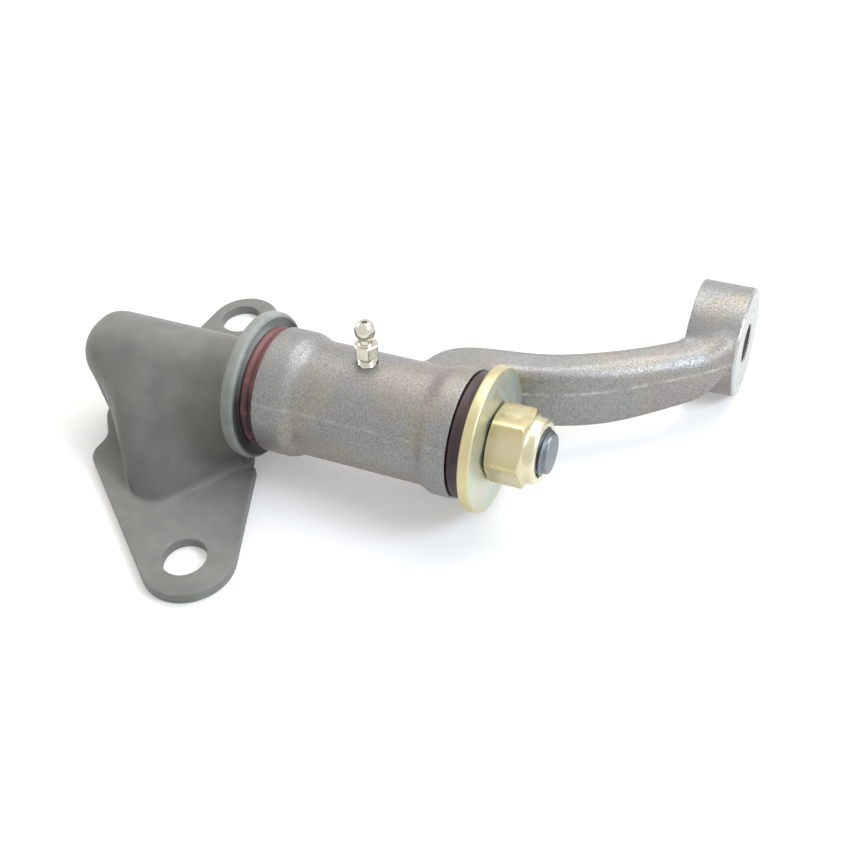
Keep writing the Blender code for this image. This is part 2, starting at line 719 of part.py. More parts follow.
def on_eye(helper, parent):
    """Puts a piece turned about X at the eye's centre, from its back face on."""
    helper.location = (EYE_REACH_X - EYE_THICKNESS, ARM_LENGTH, 0)
    helper.parent = parent
    return helper


def eye_stock(parent):
    """The eye that takes the relay rod's ball stud, faced off square to the shaft."""
    profile = [(0.0, 0.0)]
    profile += arc((EYE_ROUNDING, EYE_RADIUS - EYE_ROUNDING), EYE_ROUNDING, 180, 90, 4)
    profile += [(EYE_THICKNESS - EYE_CHAMFER, EYE_RADIUS), (EYE_THICKNESS, EYE_RADIUS - EYE_CHAMFER),
                (EYE_THICKNESS, 0.0)]
    return on_eye(add_piece("eye_stock", lathe(profile, ROUND_STEPS, closed=False), None), parent)


def drill(name, start, end, start_radius, end_radius, steps):
    """A round or tapered cutter along X that reaches a little past both faces."""
    slope = (end_radius - start_radius) / (end - start)
    first = start_radius - slope * CUTTER_REACH
    last = end_radius + slope * CUTTER_REACH
    profile = [(start - CUTTER_REACH, 0.0), (start - CUTTER_REACH, first),
               (end + CUTTER_REACH, last), (end + CUTTER_REACH, 0.0)]
    return add_piece(name, lathe(profile, steps, closed=False, phase=0.5), None)


def idler_arm(parent, steel):
    """Barrel, arm and eye: one forging, then bored, reamed and tapped."""
    arm = add_piece("idler_arm", barrel_stock(), steel, parent)
    cut(arm, arm_stock(parent), "UNION")
    cut(arm, eye_stock(parent), "UNION")
    bore = drill("barrel_bore", BARREL_START, BARREL_END, BARREL_BORE, BARREL_BORE, ROUND_STEPS)
    bore.parent = parent
    cut(arm, bore)
    wide = EYE_HOLE_RADIUS + EYE_TAPER
    cut(arm, on_eye(drill("eye_taper", 0.0, EYE_THICKNESS, wide, EYE_HOLE_RADIUS, SMALL_STEPS), parent))
    tapping = NIPPLE_THREAD_RADIUS + SEAT_GAP
    tap = drill("nipple_tapping", BARREL_BORE, BARREL_RADIUS, tapping, tapping, SMALL_STEPS)
    cut(arm, upright(tap, parent))
    return arm


# The grease nipple

def upright(piece, parent):
    """Stands a piece turned about X on the barrel's top, square to the arm."""
    piece.location = (NIPPLE_X, 0, 0)
    piece.rotation_euler = (0, -math.pi / 2, 0)
    piece.parent = parent
    return piece


def nipple_body(parent, plating):
    """A screwed grease nipple, bored through, with a lip at its mouth that keeps the ball in."""
    hexagon = NIPPLE_TOP - NIPPLE_HEAD_HEIGHT - NIPPLE_NECK_HEIGHT - NIPPLE_HEX_HEIGHT
    neck = hexagon + NIPPLE_HEX_HEIGHT
    head = neck + NIPPLE_NECK_HEIGHT
    shank_end = BARREL_BORE + NIPPLE_SHANK_INSET
    profile = [
        (shank_end, NIPPLE_PASSAGE_RADIUS),
        (shank_end, NIPPLE_THREAD_RADIUS - THREAD_CHAMFER),
        (shank_end + THREAD_CHAMFER, NIPPLE_THREAD_RADIUS),
        (hexagon, NIPPLE_THREAD_RADIUS),
    ]
    profile += chamfered_flank(hexagon, neck, NIPPLE_ACROSS_FLATS, HEX_CHAMFER, HEX_CHAMFER)
    profile += [(neck, NIPPLE_NECK_RADIUS), (head, NIPPLE_NECK_RADIUS)]
    crown = NIPPLE_MOUTH_RADIUS + NIPPLE_MOUTH_LIP
    start = -math.degrees(math.acos(NIPPLE_NECK_RADIUS / NIPPLE_HEAD_RADIUS))
    end = math.degrees(math.acos(crown / NIPPLE_HEAD_RADIUS))
    depth = math.sin(math.radians(end)) - math.sin(math.radians(start))
    centre = head - NIPPLE_HEAD_HEIGHT / depth * math.sin(math.radians(start))
    for radius, rise in arc((0, 0), 1.0, start, end, 9)[1:]:
        profile.append((centre + rise * NIPPLE_HEAD_HEIGHT / depth, radius * NIPPLE_HEAD_RADIUS))
    profile += [
        (NIPPLE_TOP, NIPPLE_MOUTH_RADIUS),
        (BALL_SEAT, NIPPLE_MOUTH_RADIUS),
        (BALL_SEAT - (NIPPLE_BORE_RADIUS - NIPPLE_MOUTH_RADIUS), NIPPLE_BORE_RADIUS),
        (SPRING_SEAT, NIPPLE_BORE_RADIUS),
        (SPRING_SEAT, NIPPLE_PASSAGE_RADIUS),
    ]
    bm = lathe(profile, SMALL_HEX_STEPS)
    trim_to_hexagon(bm, hexagon, neck, NIPPLE_ACROSS_FLATS)
    return upright(add_piece("nipple_body", bm, plating), parent)


def nipple_ball(parent, steel):
    """The check ball, just under the mouth's lip."""
    profile = arc((BALL_CENTRE, 0.0), CHECK_BALL_RADIUS, 180, 0, BALL_STEPS - 2)
    profile[0] = (BALL_CENTRE - CHECK_BALL_RADIUS, 0.0)
    profile[-1] = (BALL_CENTRE + CHECK_BALL_RADIUS, 0.0)
    return upright(add_piece("nipple_ball", lathe(profile, BALL_STEPS, closed=False), steel), parent)


def nipple_spring(parent, steel):
    """The coil spring that holds the ball up against its seat."""
    start = SPRING_SEAT + SEAT_GAP + SPRING_WIRE_RADIUS
    length = BALL_CENTRE - CHECK_BALL_RADIUS - SEAT_GAP - SPRING_WIRE_RADIUS - start
    coil = NIPPLE_BORE_RADIUS - SEAT_GAP - SPRING_WIRE_RADIUS
    count = SPRING_TURNS * COIL_STEPS
    rise = Vector((1, 0, 0))
    rings = []
    for i in range(count + 1):
        turn = 2 * math.pi * i / COIL_STEPS
        outward = Vector((0, math.cos(turn), math.sin(turn)))
        centre = outward * coil + rise * (start + length * i / count)
        wire = arc((0, 0), SPRING_WIRE_RADIUS, 0, 360, WIRE_STEPS)[:-1]
        rings.append([centre + outward * a + rise * b for a, b in wire])
    return upright(add_piece("nipple_spring", loft(rings), steel), parent)


def build():
    clear_scene()
    fixed = pivot("shaft_pivot")
    moving = pivot("arm_pivot", -DROOP)
    paint = finish("collar_paint", "838682", 0.42, 0.0)
    shaft_steel = finish("shaft_steel", "7d8287", 0.40, 1.0)
    seal_rubber = finish("seal_rubber", "5b3a3e", 0.60, 0.0)
    bush_plastic = finish("bush_plastic", "3d3b38", 0.50, 0.0)
    zinc = finish("yellow_zinc", "d9d3a5", 0.28, 0.9)
    nylon = finish("insert_nylon", "c9c7bd", 0.50, 0.0)
    forging = finish("forged_steel", "8a8681", 0.55, 0.8)
    plating = finish("bright_plating", "c8c6bd", 0.25, 1.0)
    ball_steel = finish("bearing_steel", "a9abad", 0.20, 1.0)
    bracket()
    thrust_collar(fixed, paint)
    pivot_shaft(fixed, shaft_steel)
    plate_washer(fixed, zinc)
    lock_nut(fixed, zinc)
    nut_insert(fixed, nylon)
    idler_arm(moving, forging)
    flanged_bush("rear_bush", SEAT_GAP, 1, moving, bush_plastic)
    flanged_bush("front_bush", WASHER_START - SEAT_GAP, -1, moving, bush_plastic)
    dust_seal("rear_dust_seal", SEAT_GAP, moving, seal_rubber)
    dust_seal("front_dust_seal", BARREL_END + SEAT_GAP, moving, seal_rubber)
    nipple_body(moving, plating)
    nipple_ball(moving, ball_steel)
    nipple_spring(moving, ball_steel)


build()
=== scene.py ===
"""Looks of the steering idler arm: painted stamping, raw forging, plated washer, nut and grease nipple.

Metres, +Z up. Pieces on the shaft are made in a frame of their own, with X along the shaft from the
collar's front face, and are then moved to the frame of the model.
"""
import json
import math
from functools import partial

import bmesh
import bpy
import numpy as np
from mathutils import Matrix, Vector
from mathutils.geometry import tessellate_polygon


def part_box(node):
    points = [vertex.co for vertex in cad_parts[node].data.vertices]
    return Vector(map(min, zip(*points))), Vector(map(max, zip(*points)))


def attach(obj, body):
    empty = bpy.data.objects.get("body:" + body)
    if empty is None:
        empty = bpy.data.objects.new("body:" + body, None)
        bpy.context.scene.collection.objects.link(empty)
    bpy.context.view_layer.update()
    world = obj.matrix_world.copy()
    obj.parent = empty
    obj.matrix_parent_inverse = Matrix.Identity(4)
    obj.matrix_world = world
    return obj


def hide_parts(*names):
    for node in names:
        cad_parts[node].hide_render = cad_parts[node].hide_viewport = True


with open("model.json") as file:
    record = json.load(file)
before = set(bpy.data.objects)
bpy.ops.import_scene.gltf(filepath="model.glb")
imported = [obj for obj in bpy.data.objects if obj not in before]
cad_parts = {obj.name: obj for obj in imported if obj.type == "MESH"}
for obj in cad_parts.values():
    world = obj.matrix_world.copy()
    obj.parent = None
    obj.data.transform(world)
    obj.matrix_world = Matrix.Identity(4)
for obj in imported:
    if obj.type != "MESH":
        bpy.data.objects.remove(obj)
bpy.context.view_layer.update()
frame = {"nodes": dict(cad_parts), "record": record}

MM = 0.001

# Where things are, from the frame
JOINTS = {joint["name"]: joint for joint in frame["record"]["behaviour"]["joints"]}
AXIS_PLACE = Vector(JOINTS["arm_swing"]["pos_m"])
NIPPLE_UP = -Vector(JOINTS["nipple_check"]["axis"])
DROOP = math.atan2(NIPPLE_UP.y, NIPPLE_UP.z)
FIXED = Matrix.Translation(AXIS_PLACE)
MOVING = FIXED @ Matrix.Rotation(-DROOP, 4, "X")


def reach(node):
    """Start and end along the shaft of a round node, and its radius."""
    low, high = (Vector(corner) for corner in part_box(node))
    return low.x - AXIS_PLACE.x, high.x - AXIS_PLACE.x, (high.y - low.y) / 2


COLLAR_START, COLLAR_FACE, COLLAR_RADIUS = reach("thrust_collar")
REAR_SEAL_START, REAR_SEAL_END, SEAL_RADIUS = reach("rear_dust_seal")
FRONT_SEAL_START, FRONT_SEAL_END, _ = reach("front_dust_seal")
WASHER_START, WASHER_END, WASHER_RADIUS = reach("plate_washer")
NUT_START, NUT_END, _ = reach("lock_nut")
SHAFT_TAIL, STUD_END, JOURNAL_RADIUS = reach("pivot_shaft")
INSERT_START, INSERT_END, INSERT_RADIUS = reach("nut_insert")
EYE_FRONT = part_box("idler_arm")[1][0] - AXIS_PLACE.x

# Fits
SEAT_GAP = 0.3 * MM

# Bracket stamping
SHEET = 3.6 * MM
BOLT_SPACING = 113.8 * MM
BOLT_SKEW = math.radians(20.56)
BOLT_HOLE_RADIUS = 7.1 * MM
FRONT_LOBE_RADIUS = 14.9 * MM
REAR_LOBE_RADIUS = 12.6 * MM
LOBE_SHIFT = 1.2 * MM
FRONT_CORNER = (-59.3 * MM, -26.7 * MM)
FRONT_WAIST = (-58.4 * MM, -17.4 * MM)
REAR_WAIST = (-60.2 * MM, 18.2 * MM)
REAR_CORNER = (7.0 * MM, 23.2 * MM)
NECK_MARGIN = 2.4 * MM
CORNER_RADIUS = 7.0 * MM
FOOT_FILLET = 4.4 * MM
NECK_FILLET = 1.6 * MM
BUTTRESS_FRONT = (-29.1 * MM, -47.1 * MM)
BUTTRESS_REAR = (-20.9 * MM, 43.0 * MM)
BUTTRESS_RADIUS = 9.6 * MM
MOUTH_SPREAD = 2.3 * MM
MOUTH_FLARE = 3.0 * MM
MOUTH_FLARE_LENGTH = 6.5 * MM
POCKET_LENGTH = 50.3 * MM
NECK_INSET = 4.2 * MM
NECK_SHOULDER = 6.6 * MM
MOUTH_TAB = 2.2 * MM
CREST_RADIUS = 13.2 * MM
FRONT_END_SQUARENESS = 2.05
REAR_END_SQUARENESS = 2.7
SHEAR_ROLL = 0.7 * MM
HOLE_ROLL = 0.4 * MM
MOUTH_X = COLLAR_START - SEAT_GAP
CREST_END_X = MOUTH_X - POCKET_LENGTH
NECK_X = CREST_END_X - CREST_RADIUS + NECK_INSET
AXIS_ABOVE_PLATE = AXIS_PLACE.z - SHEET
# Where the ribs that leave the crest at one share of its length reach the foot
RIB_SHARES = ((0.0, 0.0), (0.31, 0.30), (0.64, 0.475), (0.86, 0.90), (1.0, 1.0))
RIBS = 84
CREST_STEPS = 16
WALL_STEPS = 8
FILLET_STEPS = 12

# Ring at the pocket's mouth and seals
COLLAR_RIM = 1.5 * MM
COLLAR_LIP = 0.4 * MM
COLLAR_LIP_DROP = 0.3 * MM
COLLAR_RELIEF = 1.1 * MM
COLLAR_RELIEF_SLOPE = 0.5 * MM
COLLAR_LAND_MARGIN = 0.2 * MM
SEAL_BORE = 15.3 * MM
SEAL_LIP_SHARE = 0.10
SEAL_GROOVE_START = 0.22
SEAL_GROOVE_SHARE = 0.56

# Forged arm
BARREL_START = REAR_SEAL_END + SEAT_GAP
BARREL_END = FRONT_SEAL_START - SEAT_GAP
BARREL_RADIUS = 18.4 * MM
BARREL_END_RADIUS = 20.1 * MM
BARREL_BORE = 12.8 * MM
BORE_CHAMFER = 0.6 * MM
REAR_SWELL = 7.8 * MM
FRONT_SWELL = 6.5 * MM
REAR_SWELL_RUN = 5.5 * MM
FRONT_SWELL_RUN = 4.4 * MM
ARM_LENGTH = 77.7 * MM
ARM_WIDTH = 13.6 * MM
ARM_DEPTH = 22.0 * MM
ARM_LOWERED = 2.4 * MM
ARM_TURN = math.radians(13.0)
ARM_CLEARANCE = 2.0 * MM
ARM_EDGE_RADIUS = 2.9 * MM
ARM_DRAFT = math.radians(4.0)
ROOT_WIDTH = 21.1 * MM
ROOT_DEPTH = 27.0 * MM
ROOT_INSET = 1.5 * MM
ROOT_SINK = 5.1 * MM
ROOT_BLEND = 3.0 * MM
ELBOW_RISE = 8.9 * MM
ELBOW_RUN = 18.6 * MM
ELBOW_TUCK = 3.0 * MM
KNEE_REACH = 2.3 * MM
SWEEP_START = 21.9 * MM
SWEEP_BELLY = 0.5 * MM
SWEEP_DROP = 17.9 * MM
SWEEP_STOP = 9.9 * MM
TAPER_START = 0.21
EYE_ROOT_WIDTH = 12.5 * MM
EYE_ROOT_DEPTH = 15.5 * MM
BROW_RADIUS = 6.0 * MM
BROW_RUN = 0.45
EYE_FLARE = 3.4 * MM
FLARE_START = 0.45
EYE_LIFT = 11.0 * MM
EYE_RISE = 5.0 * MM
LIFT_START = 0.70
EYE_RADIUS = 18.1 * MM
EYE_THICKNESS = 17.2 * MM
EYE_BACK = EYE_FRONT - EYE_THICKNESS
EYE_BLEND = 2.5 * MM
EYE_HOLE_RADIUS = 6.5 * MM
EYE_HOLE_CHAMFER = 0.4 * MM
EYE_TAPER = 1.0 * MM
EYE_CHAMFER = 0.6 * MM
EYE_RIM = 1.2 * MM
SPOT_FACE_RISE = 0.2 * MM
SPOT_FACE_MARGIN = 0.3 * MM
MACHINING_STOCK = 1.0 * MM
CUTTER_OVERRUN = 3.0 * MM
FORGING_GRID = 0.55 * MM
PARTING_HEIGHT = 0.25 * MM
PARTING_WIDTH = 0.40 * MM
PARTING_RISE = 2.7 * MM
BARREL_PARTING = math.radians(21)

# Nut, stud and nipple
NUT_ACROSS_FLATS = 22.0 * MM
NUT_HEX_HEIGHT = 11.5 * MM
NUT_TURN = math.radians(20)
NUT_CHAMFER_SLOPE = math.tan(math.radians(32))
NUT_FACE_SHARE = 0.95
NUT_BLEND = 0.4 * MM
NUT_COLLAR_RADIUS = 10.2 * MM
NUT_COLLAR_STEP = 1.7 * MM
NUT_COLLAR_ROLL = 1.2 * MM
NUT_BORE_CHAMFER = 0.6 * MM
NUT_MOUTH_MARGIN = 0.35 * MM
NUT_LIP = 0.15 * MM
WASHER_ROLL = 0.8 * MM
STUD_RADIUS = 7.0 * MM
STUD_BORE = 7.3 * MM
STUD_PITCH = 1.5 * MM
STUD_CORE_RADIUS = STUD_RADIUS - STUD_PITCH * 0.55
STUD_EDGE = 0.35 * MM
STUD_THREAD_STOP = 1.275 * MM
JOURNAL_CHAMFER = 0.8 * MM
TAIL_RADIUS = 8.8 * MM
TAIL_CHAMFER = 1.2 * MM
NIPPLE_X = BARREL_END - 33.0 * MM
NIPPLE_TOP = BARREL_RADIUS + 14.3 * MM
NIPPLE_THREAD_RADIUS = 3.0 * MM
NIPPLE_PITCH = 1.0 * MM
NIPPLE_ACROSS_FLATS = 7.0 * MM
NIPPLE_HEX_HEIGHT = 4.2 * MM
NIPPLE_CHAMFER_SLOPE = math.tan(math.radians(30))
NIPPLE_FACE_SHARE = 0.92
NIPPLE_NECK_RADIUS = 2.2 * MM
NIPPLE_NECK_HEIGHT = 2.0 * MM
NIPPLE_NECK_FILLET = 0.3 * MM
NIPPLE_HEAD_RADIUS = 3.3 * MM
NIPPLE_HEAD_HEIGHT = 5.6 * MM
NIPPLE_MOUTH_RADIUS = 0.8 * MM
NIPPLE_MOUTH_LIP = 0.7 * MM
NIPPLE_MOUTH_BEVEL = 0.15 * MM
NIPPLE_MOUTH_DEPTH = 0.8 * MM
NIPPLE_BORE_RADIUS = 1.5 * MM
NIPPLE_PASSAGE_RADIUS = 0.9 * MM
CHECK_BALL_RADIUS = 1.1 * MM
SPRING_LENGTH = 5.2 * MM
SPRING_WIRE_RADIUS = 0.15 * MM
SPRING_TURNS = 5
BALL_SEAT = NIPPLE_TOP - NIPPLE_MOUTH_DEPTH
BALL_CENTRE = BALL_SEAT - math.sqrt((CHECK_BALL_RADIUS + SEAT_GAP) ** 2 - NIPPLE_MOUTH_RADIUS ** 2)
SPRING_SEAT = BALL_CENTRE - CHECK_BALL_RADIUS - SPRING_LENGTH

# Camera
CAMERA_PLACE = (0.21009, -0.24304, 0.29614)
CAMERA_TURN = math.radians(28.17)
CAMERA_TILT = math.radians(45.917)
CAMERA_ROLL = math.radians(-6.755)
CAMERA_LENS = 53.70
FLOOR_DROP = 0.2 * MM


# Colours and nodes

NOISE = "ShaderNodeTexNoise"
RAMP = "ShaderNodeValToRGB"
RANGE = "ShaderNodeMapRange"
MIX = "ShaderNodeMix"
BUMP = "ShaderNodeBump"
MATH = "ShaderNodeMath"
PLAIN_NOISE = {"Detail": 3.0, "Roughness": 0.55}
WAVE_RADIANS = 20  # the wave texture's phase over one unit at a scale of 1


def linear(hex_colour):
    """An sRGB hex colour as the linear values that a shader takes."""
    channels = [int(hex_colour[i:i + 2], 16) / 255 for i in (0, 2, 4)]
    return [c / 12.92 if c <= 0.04045 else ((c + 0.055) / 1.055) ** 2.4 for c in channels] + [1.0]


def per(millimetres):
    """The texture scale at which one cell of a pattern measures this many millimetres."""
    return 1000 / millimetres


def output_of(source):
    """A node stands for its first output; sockets and plain values stay as they are."""
    return source.outputs[0] if isinstance(source, bpy.types.Node) else source


def add_node(tree, kind, inputs=(), stops=(), **settings):
    """Adds one node, with its inputs by name or in the node's own order: values, sockets or nodes.

    The stops are those of a colour ramp, as (position, hex colour)."""
    node = tree.nodes.new(kind)
    for key, value in settings.items():
        setattr(node, key, value)
    for key, value in (inputs if isinstance(inputs, dict) else dict(enumerate(inputs))).items():
        value = output_of(value)
        if isinstance(value, bpy.types.NodeSocket):
            tree.links.new(value, node.inputs[key])
        else:
            node.inputs[key].default_value = value
    while stops and len(node.color_ramp.elements) < len(stops):
        node.color_ramp.elements.new(0.5)
    for i, (position, colour) in enumerate(stops):
        node.color_ramp.elements[i].position = position
        node.color_ramp.elements[i].color = linear(colour)
    return node


def new_material(name, colour, roughness, metallic):
    """A plain material, the function that adds to its nodes, and the object coordinates they read."""
    material = bpy.data.materials.new(name)
    material.use_nodes = True
    shader = material.node_tree.nodes["Principled BSDF"]
    shader.inputs["Base Color"].default_value = linear(colour)
    shader.inputs["Roughness"].default_value = roughness
    shader.inputs["Metallic"].default_value = metallic
    add = partial(add_node, material.node_tree)
    return material, add, add("ShaderNodeTexCoord").outputs["Object"]


def finish(material, colour=None, roughness=None, normal=None):
    """Feeds the patterns of a finish into its shader."""
    tree = material.node_tree
    for key, source in (("Base Color", colour), ("Roughness", roughness), ("Normal", normal)):
        if source is not None:
            tree.links.new(output_of(source), tree.nodes["Principled BSDF"].inputs[key])
    return material


# Finishes

def from_shaft(add, place):
    """Each place's distance from the shaft's axis."""
    spoke = add("ShaderNodeMapping", {
        "Vector": place, "Location": (0, -AXIS_PLACE.y, -AXIS_PLACE.z), "Scale": (0, 1, 1)})
    return add("ShaderNodeVectorMath", (spoke,), operation="LENGTH").outputs["Value"]


def satin_paint(name, colour, light, dark, shaded_radius=None):
    """Electro-dipped primer: a satin film with a faint mottle and a few pale scuffs.

    Its peel is drawn coarse enough to show. Painted shade darkens it towards the pocket's foot. On the
    ring, painted shade darkens the relief inside the given radius, less so towards the top."""
    material, add, place = new_material(name, colour, 0.46, 0.0)
    mottle = add(NOISE, {"Vector": place, "Scale": per(9.0), "Detail": 4.0, "Roughness": 0.55})
    base = add(RAMP, (mottle,), [(0.30, dark), (0.52, colour), (0.74, light)])
    specks = add(NOISE, {"Vector": place, "Scale": per(1.1), "Detail": 2.0, "Roughness": 0.6})
    scuff = add(RANGE, (specks, 0.68, 0.76, 0.0, 0.40))
    base = add(MIX, {0: scuff, 6: base, 7: linear("aeaca4")}, data_type="RGBA").outputs[2]
    height = add("ShaderNodeSeparateXYZ", (place,)).outputs["Z"]
    # Painted shade, mixed in below: dark in the ring's relief and less so towards its top, and on the
    # pocket's wall towards its foot
    if shaded_radius:
        edge = 0.4 * MM
        where = add(RANGE, (from_shaft(add, place), shaded_radius - edge, shaded_radius + edge, 1.0, 0.3))
        share = add(RANGE, (height, AXIS_PLACE.z + 8 * MM, AXIS_PLACE.z + 19 * MM, 0.9, 0.0))
    else:
        where = add(RANGE, (height, SHEET + 0.05 * MM, SHEET + 0.9 * MM, 0.0, 1.0))
        share = add(RANGE, (height, SHEET + 1 * MM, AXIS_PLACE.z + 3 * MM, 0.50, 0.0))
    painted_shade = add(MATH, (where, share), operation="MULTIPLY")
    base = add(MIX, {0: painted_shade, 6: base, 7: linear("30312d")}, data_type="RGBA").outputs[2]
    peel = add(NOISE, {"Vector": place, "Scale": per(0.9), **PLAIN_NOISE})
    rough = add(RANGE, (mottle, 0.3, 0.7, 0.42, 0.54))
    return finish(material, base, rough, add(BUMP, {"Height": peel, "Distance": 0.035 * MM}))


def blasted_forging():
    """Drop-forged carbon steel, shot blasted: a pewter grey skin of glints and faint heat tints.

    Its fine pits are drawn coarse enough to show, and the parting line is worn bright in places."""
    material, add, place = new_material("blasted_forging", "9c9a96", 0.5, 0.65)
    tint = add(NOISE, {
        "Vector": place, "Scale": per(24.0), "Detail": 2.0, "Roughness": 0.5, "Distortion": 0.4})
    base = add(RAMP, (tint,), [
        (0.34, "9a9b9a"), (0.47, "9d9b98"), (0.56, "a29d93"), (0.66, "a09896"), (0.78, "9d9894")])
    grit = add(NOISE, {"Vector": place, "Scale": per(0.55), "Detail": 3.0, "Roughness": 0.62})
    shade = add(RAMP, (grit,), [(0.33, "a8a6a4"), (0.50, "e4e2e0"), (0.66, "ffffff")])
    base = add(MIX, {0: 0.6, 6: base, 7: shade}, data_type="RGBA", blend_type="MULTIPLY").outputs[2]
    parting = add("ShaderNodeAttribute", attribute_name="parting").outputs["Fac"]
    patches = add(NOISE, {"Vector": place, "Scale": per(5.0), "Detail": 2.0, "Roughness": 0.55})
    worn = add(RANGE, (patches, 0.40, 0.60, 0.05, 0.55))
    worn = add(MATH, (parting, worn), operation="MULTIPLY")
    base = add(MIX, {0: worn, 6: base, 7: linear("d9d8d3")}, data_type="RGBA").outputs[2]
    rough = add(RANGE, (grit, 0.34, 0.68, 0.60, 0.34))
    coarse = add(NOISE, {"Vector": place, "Scale": per(3.2), **PLAIN_NOISE})
    pits = add(BUMP, {"Height": grit, "Distance": 0.10 * MM})
    return finish(material, base, rough, add(BUMP, {"Height": coarse, "Distance": 0.12 * MM, "Normal": pits}))


def machined_steel(name, colour, ring_mm, centre):
    """Freshly cut steel: bright, with the rings of a facing tool about the hole.

    A tool's feed is too fine to show, so its rings are drawn a few millimetres apart."""
    material, add, place = new_material(name, colour, 0.34, 1.0)
    moved = add("ShaderNodeMapping", {"Vector": place, "Location": -centre})
    scale = 2 * math.pi * per(ring_mm) / WAVE_RADIANS
    rings = add("ShaderNodeTexWave", {"Vector": moved, "Scale": scale, "Distortion": 0.6, "Detail": 1.0},
                wave_type="RINGS", rings_direction="X").outputs["Fac"]
    rough = add(RANGE, (rings, 0.0, 1.0, 0.28, 0.40))
    return finish(material, None, rough, add(BUMP, {"Height": rings, "Distance": 0.01 * MM}))


def yellow_zinc(name, stops, rim_colour, rim_start, rim_end, roughness):
    """Zinc plate with a yellow chromate: a pale drift of tints, and straw where it builds up at the rim."""
    material, add, place = new_material(name, rim_colour, roughness, 1.0)
    drift = add(NOISE, {
        "Vector": place, "Scale": per(13.0), "Detail": 2.0, "Roughness": 0.5, "Distortion": 1.2})
    base = add(RAMP, (drift,), stops)
    at_rim = add(RANGE, (from_shaft(add, place), rim_start, rim_end, 0.0, 1.0))
    base = add(MIX, {0: at_rim, 6: base, 7: linear(rim_colour)}, data_type="RGBA").outputs[2]
    cloud = add(NOISE, {"Vector": place, "Scale": per(2.4), **PLAIN_NOISE})
    rough = add(RANGE, (cloud, 0.3, 0.7, roughness - 0.05, roughness + 0.08))
    tool = add(NOISE, {"Vector": place, "Scale": per(0.8), "Detail": 3.0, "Roughness": 0.6})
    return finish(material, base, rough, add(BUMP, {"Height": tool, "Distance": 0.006 * MM}))


def seal_rubber(name, deep, colour, bloom_and_top_light):
    """Moulded rubber: dull dark maroon, paler where it has bloomed, with a fine grain; painted light makes
    its top paler.
    """
    material, add, place = new_material(name, colour, 0.5, 0.0)
    bloom = add(NOISE, {"Vector": place, "Scale": per(4.5), **PLAIN_NOISE})
    base = add(RAMP, (bloom,), [(0.30, deep), (0.52, colour), (0.72, bloom_and_top_light)])
    # Painted light: the seal's top is made paler with the bloom's colour, by height
    height = add("ShaderNodeSeparateXYZ", (place,)).outputs["Z"]
    painted_top_light = add(RANGE, (height, AXIS_PLACE.z + 8 * MM, AXIS_PLACE.z + 18 * MM, 0.0, 0.7))
    base = add(MIX, {0: painted_top_light, 6: base, 7: linear(bloom_and_top_light)}, data_type="RGBA").outputs[2]
    grain = add(NOISE, {"Vector": place, "Scale": per(0.5), **PLAIN_NOISE})
    return finish(material, base, None, add(BUMP, {"Height": grain, "Distance": 0.03 * MM}))


def plain_finish(name, colour, roughness, metallic, grain_mm, depth_mm):
    """A small part's finish: one colour, the grain of how it was made and a slight drift in its gloss."""
    material, add, place = new_material(name, colour, roughness, metallic)
    drift = add(NOISE, {"Vector": place, "Scale": per(grain_mm * 4), **PLAIN_NOISE})
    rough = add(RANGE, (drift, 0.3, 0.7, roughness * 0.8, roughness * 1.25))
    grain = add(NOISE, {"Vector": place, "Scale": per(grain_mm), **PLAIN_NOISE})
    return finish(material, None, rough, add(BUMP, {"Height": grain, "Distance": depth_mm * MM}))


# Shapes

def smooth(value):
    """Eases a value from 0 to 1, flat at both ends."""
    value = min(max(value, 0.0), 1.0)
    return value * value * (3 - 2 * value)


def rising(share, start):
    """Eases from 0 at the starting share to 1 at the end."""
    return smooth((share - start) / (1 - start))


def between(start, end, share):
    return start + (end - start) * share


def arc(centre, radius, start, end, steps):
    """Points on an arc from one angle to another, in degrees."""
    points = []
    for i in range(steps + 1):
        angle = math.radians(start + (end - start) * i / steps)
        points.append((centre[0] + radius * math.cos(angle), centre[1] + radius * math.sin(angle)))
    return points


def rounding(start, corner, end, share):
    """A point on the curve that leaves the start for the corner and bends over to the end."""
    return tuple(start * (1 - share) ** 2 + corner * 2 * share * (1 - share) + end * share ** 2)


def rounded(points, radii, steps=6):
    """An open path through the points, with each inner corner rounded to its radius."""
    path = [Vector(points[0])]
    for i in range(1, len(points) - 1):
        before, corner, after = (Vector(points[i + k]) for k in (-1, 0, 1))
        to_before = (before - corner).normalized()
        to_after = (after - corner).normalized()
        half = to_before.angle(to_after) / 2
        if radii[i] <= 0 or half > math.radians(89.5):
            path.append(corner)
            continue
        tangent_length = radii[i] / math.tan(half)
        centre = corner + (to_before + to_after).normalized() * (radii[i] / math.sin(half))
        first = (corner + to_before * tangent_length - centre).normalized()
        last = (corner + to_after * tangent_length - centre).normalized()
        path += [centre + first.slerp(last, k / steps) * radii[i] for k in range(steps + 1)]
    path.append(Vector(points[-1]))
    return path


def softened(profile, radius, steps=4):
    """A closed profile with every corner rounded, as a tumbled or rolled edge is."""
    count = len(profile)
    points = []
    for i in range(count):
        before, corner, after = (Vector(profile[(i + k) % count]) for k in (-1, 0, 1))
        near = min(radius, (before - corner).length / 2.2, (after - corner).length / 2.2)
        start = corner + (before - corner).normalized() * near
        end = corner + (after - corner).normalized() * near
        points += [rounding(start, corner, end, k / steps) for k in range(steps + 1)]
    return points


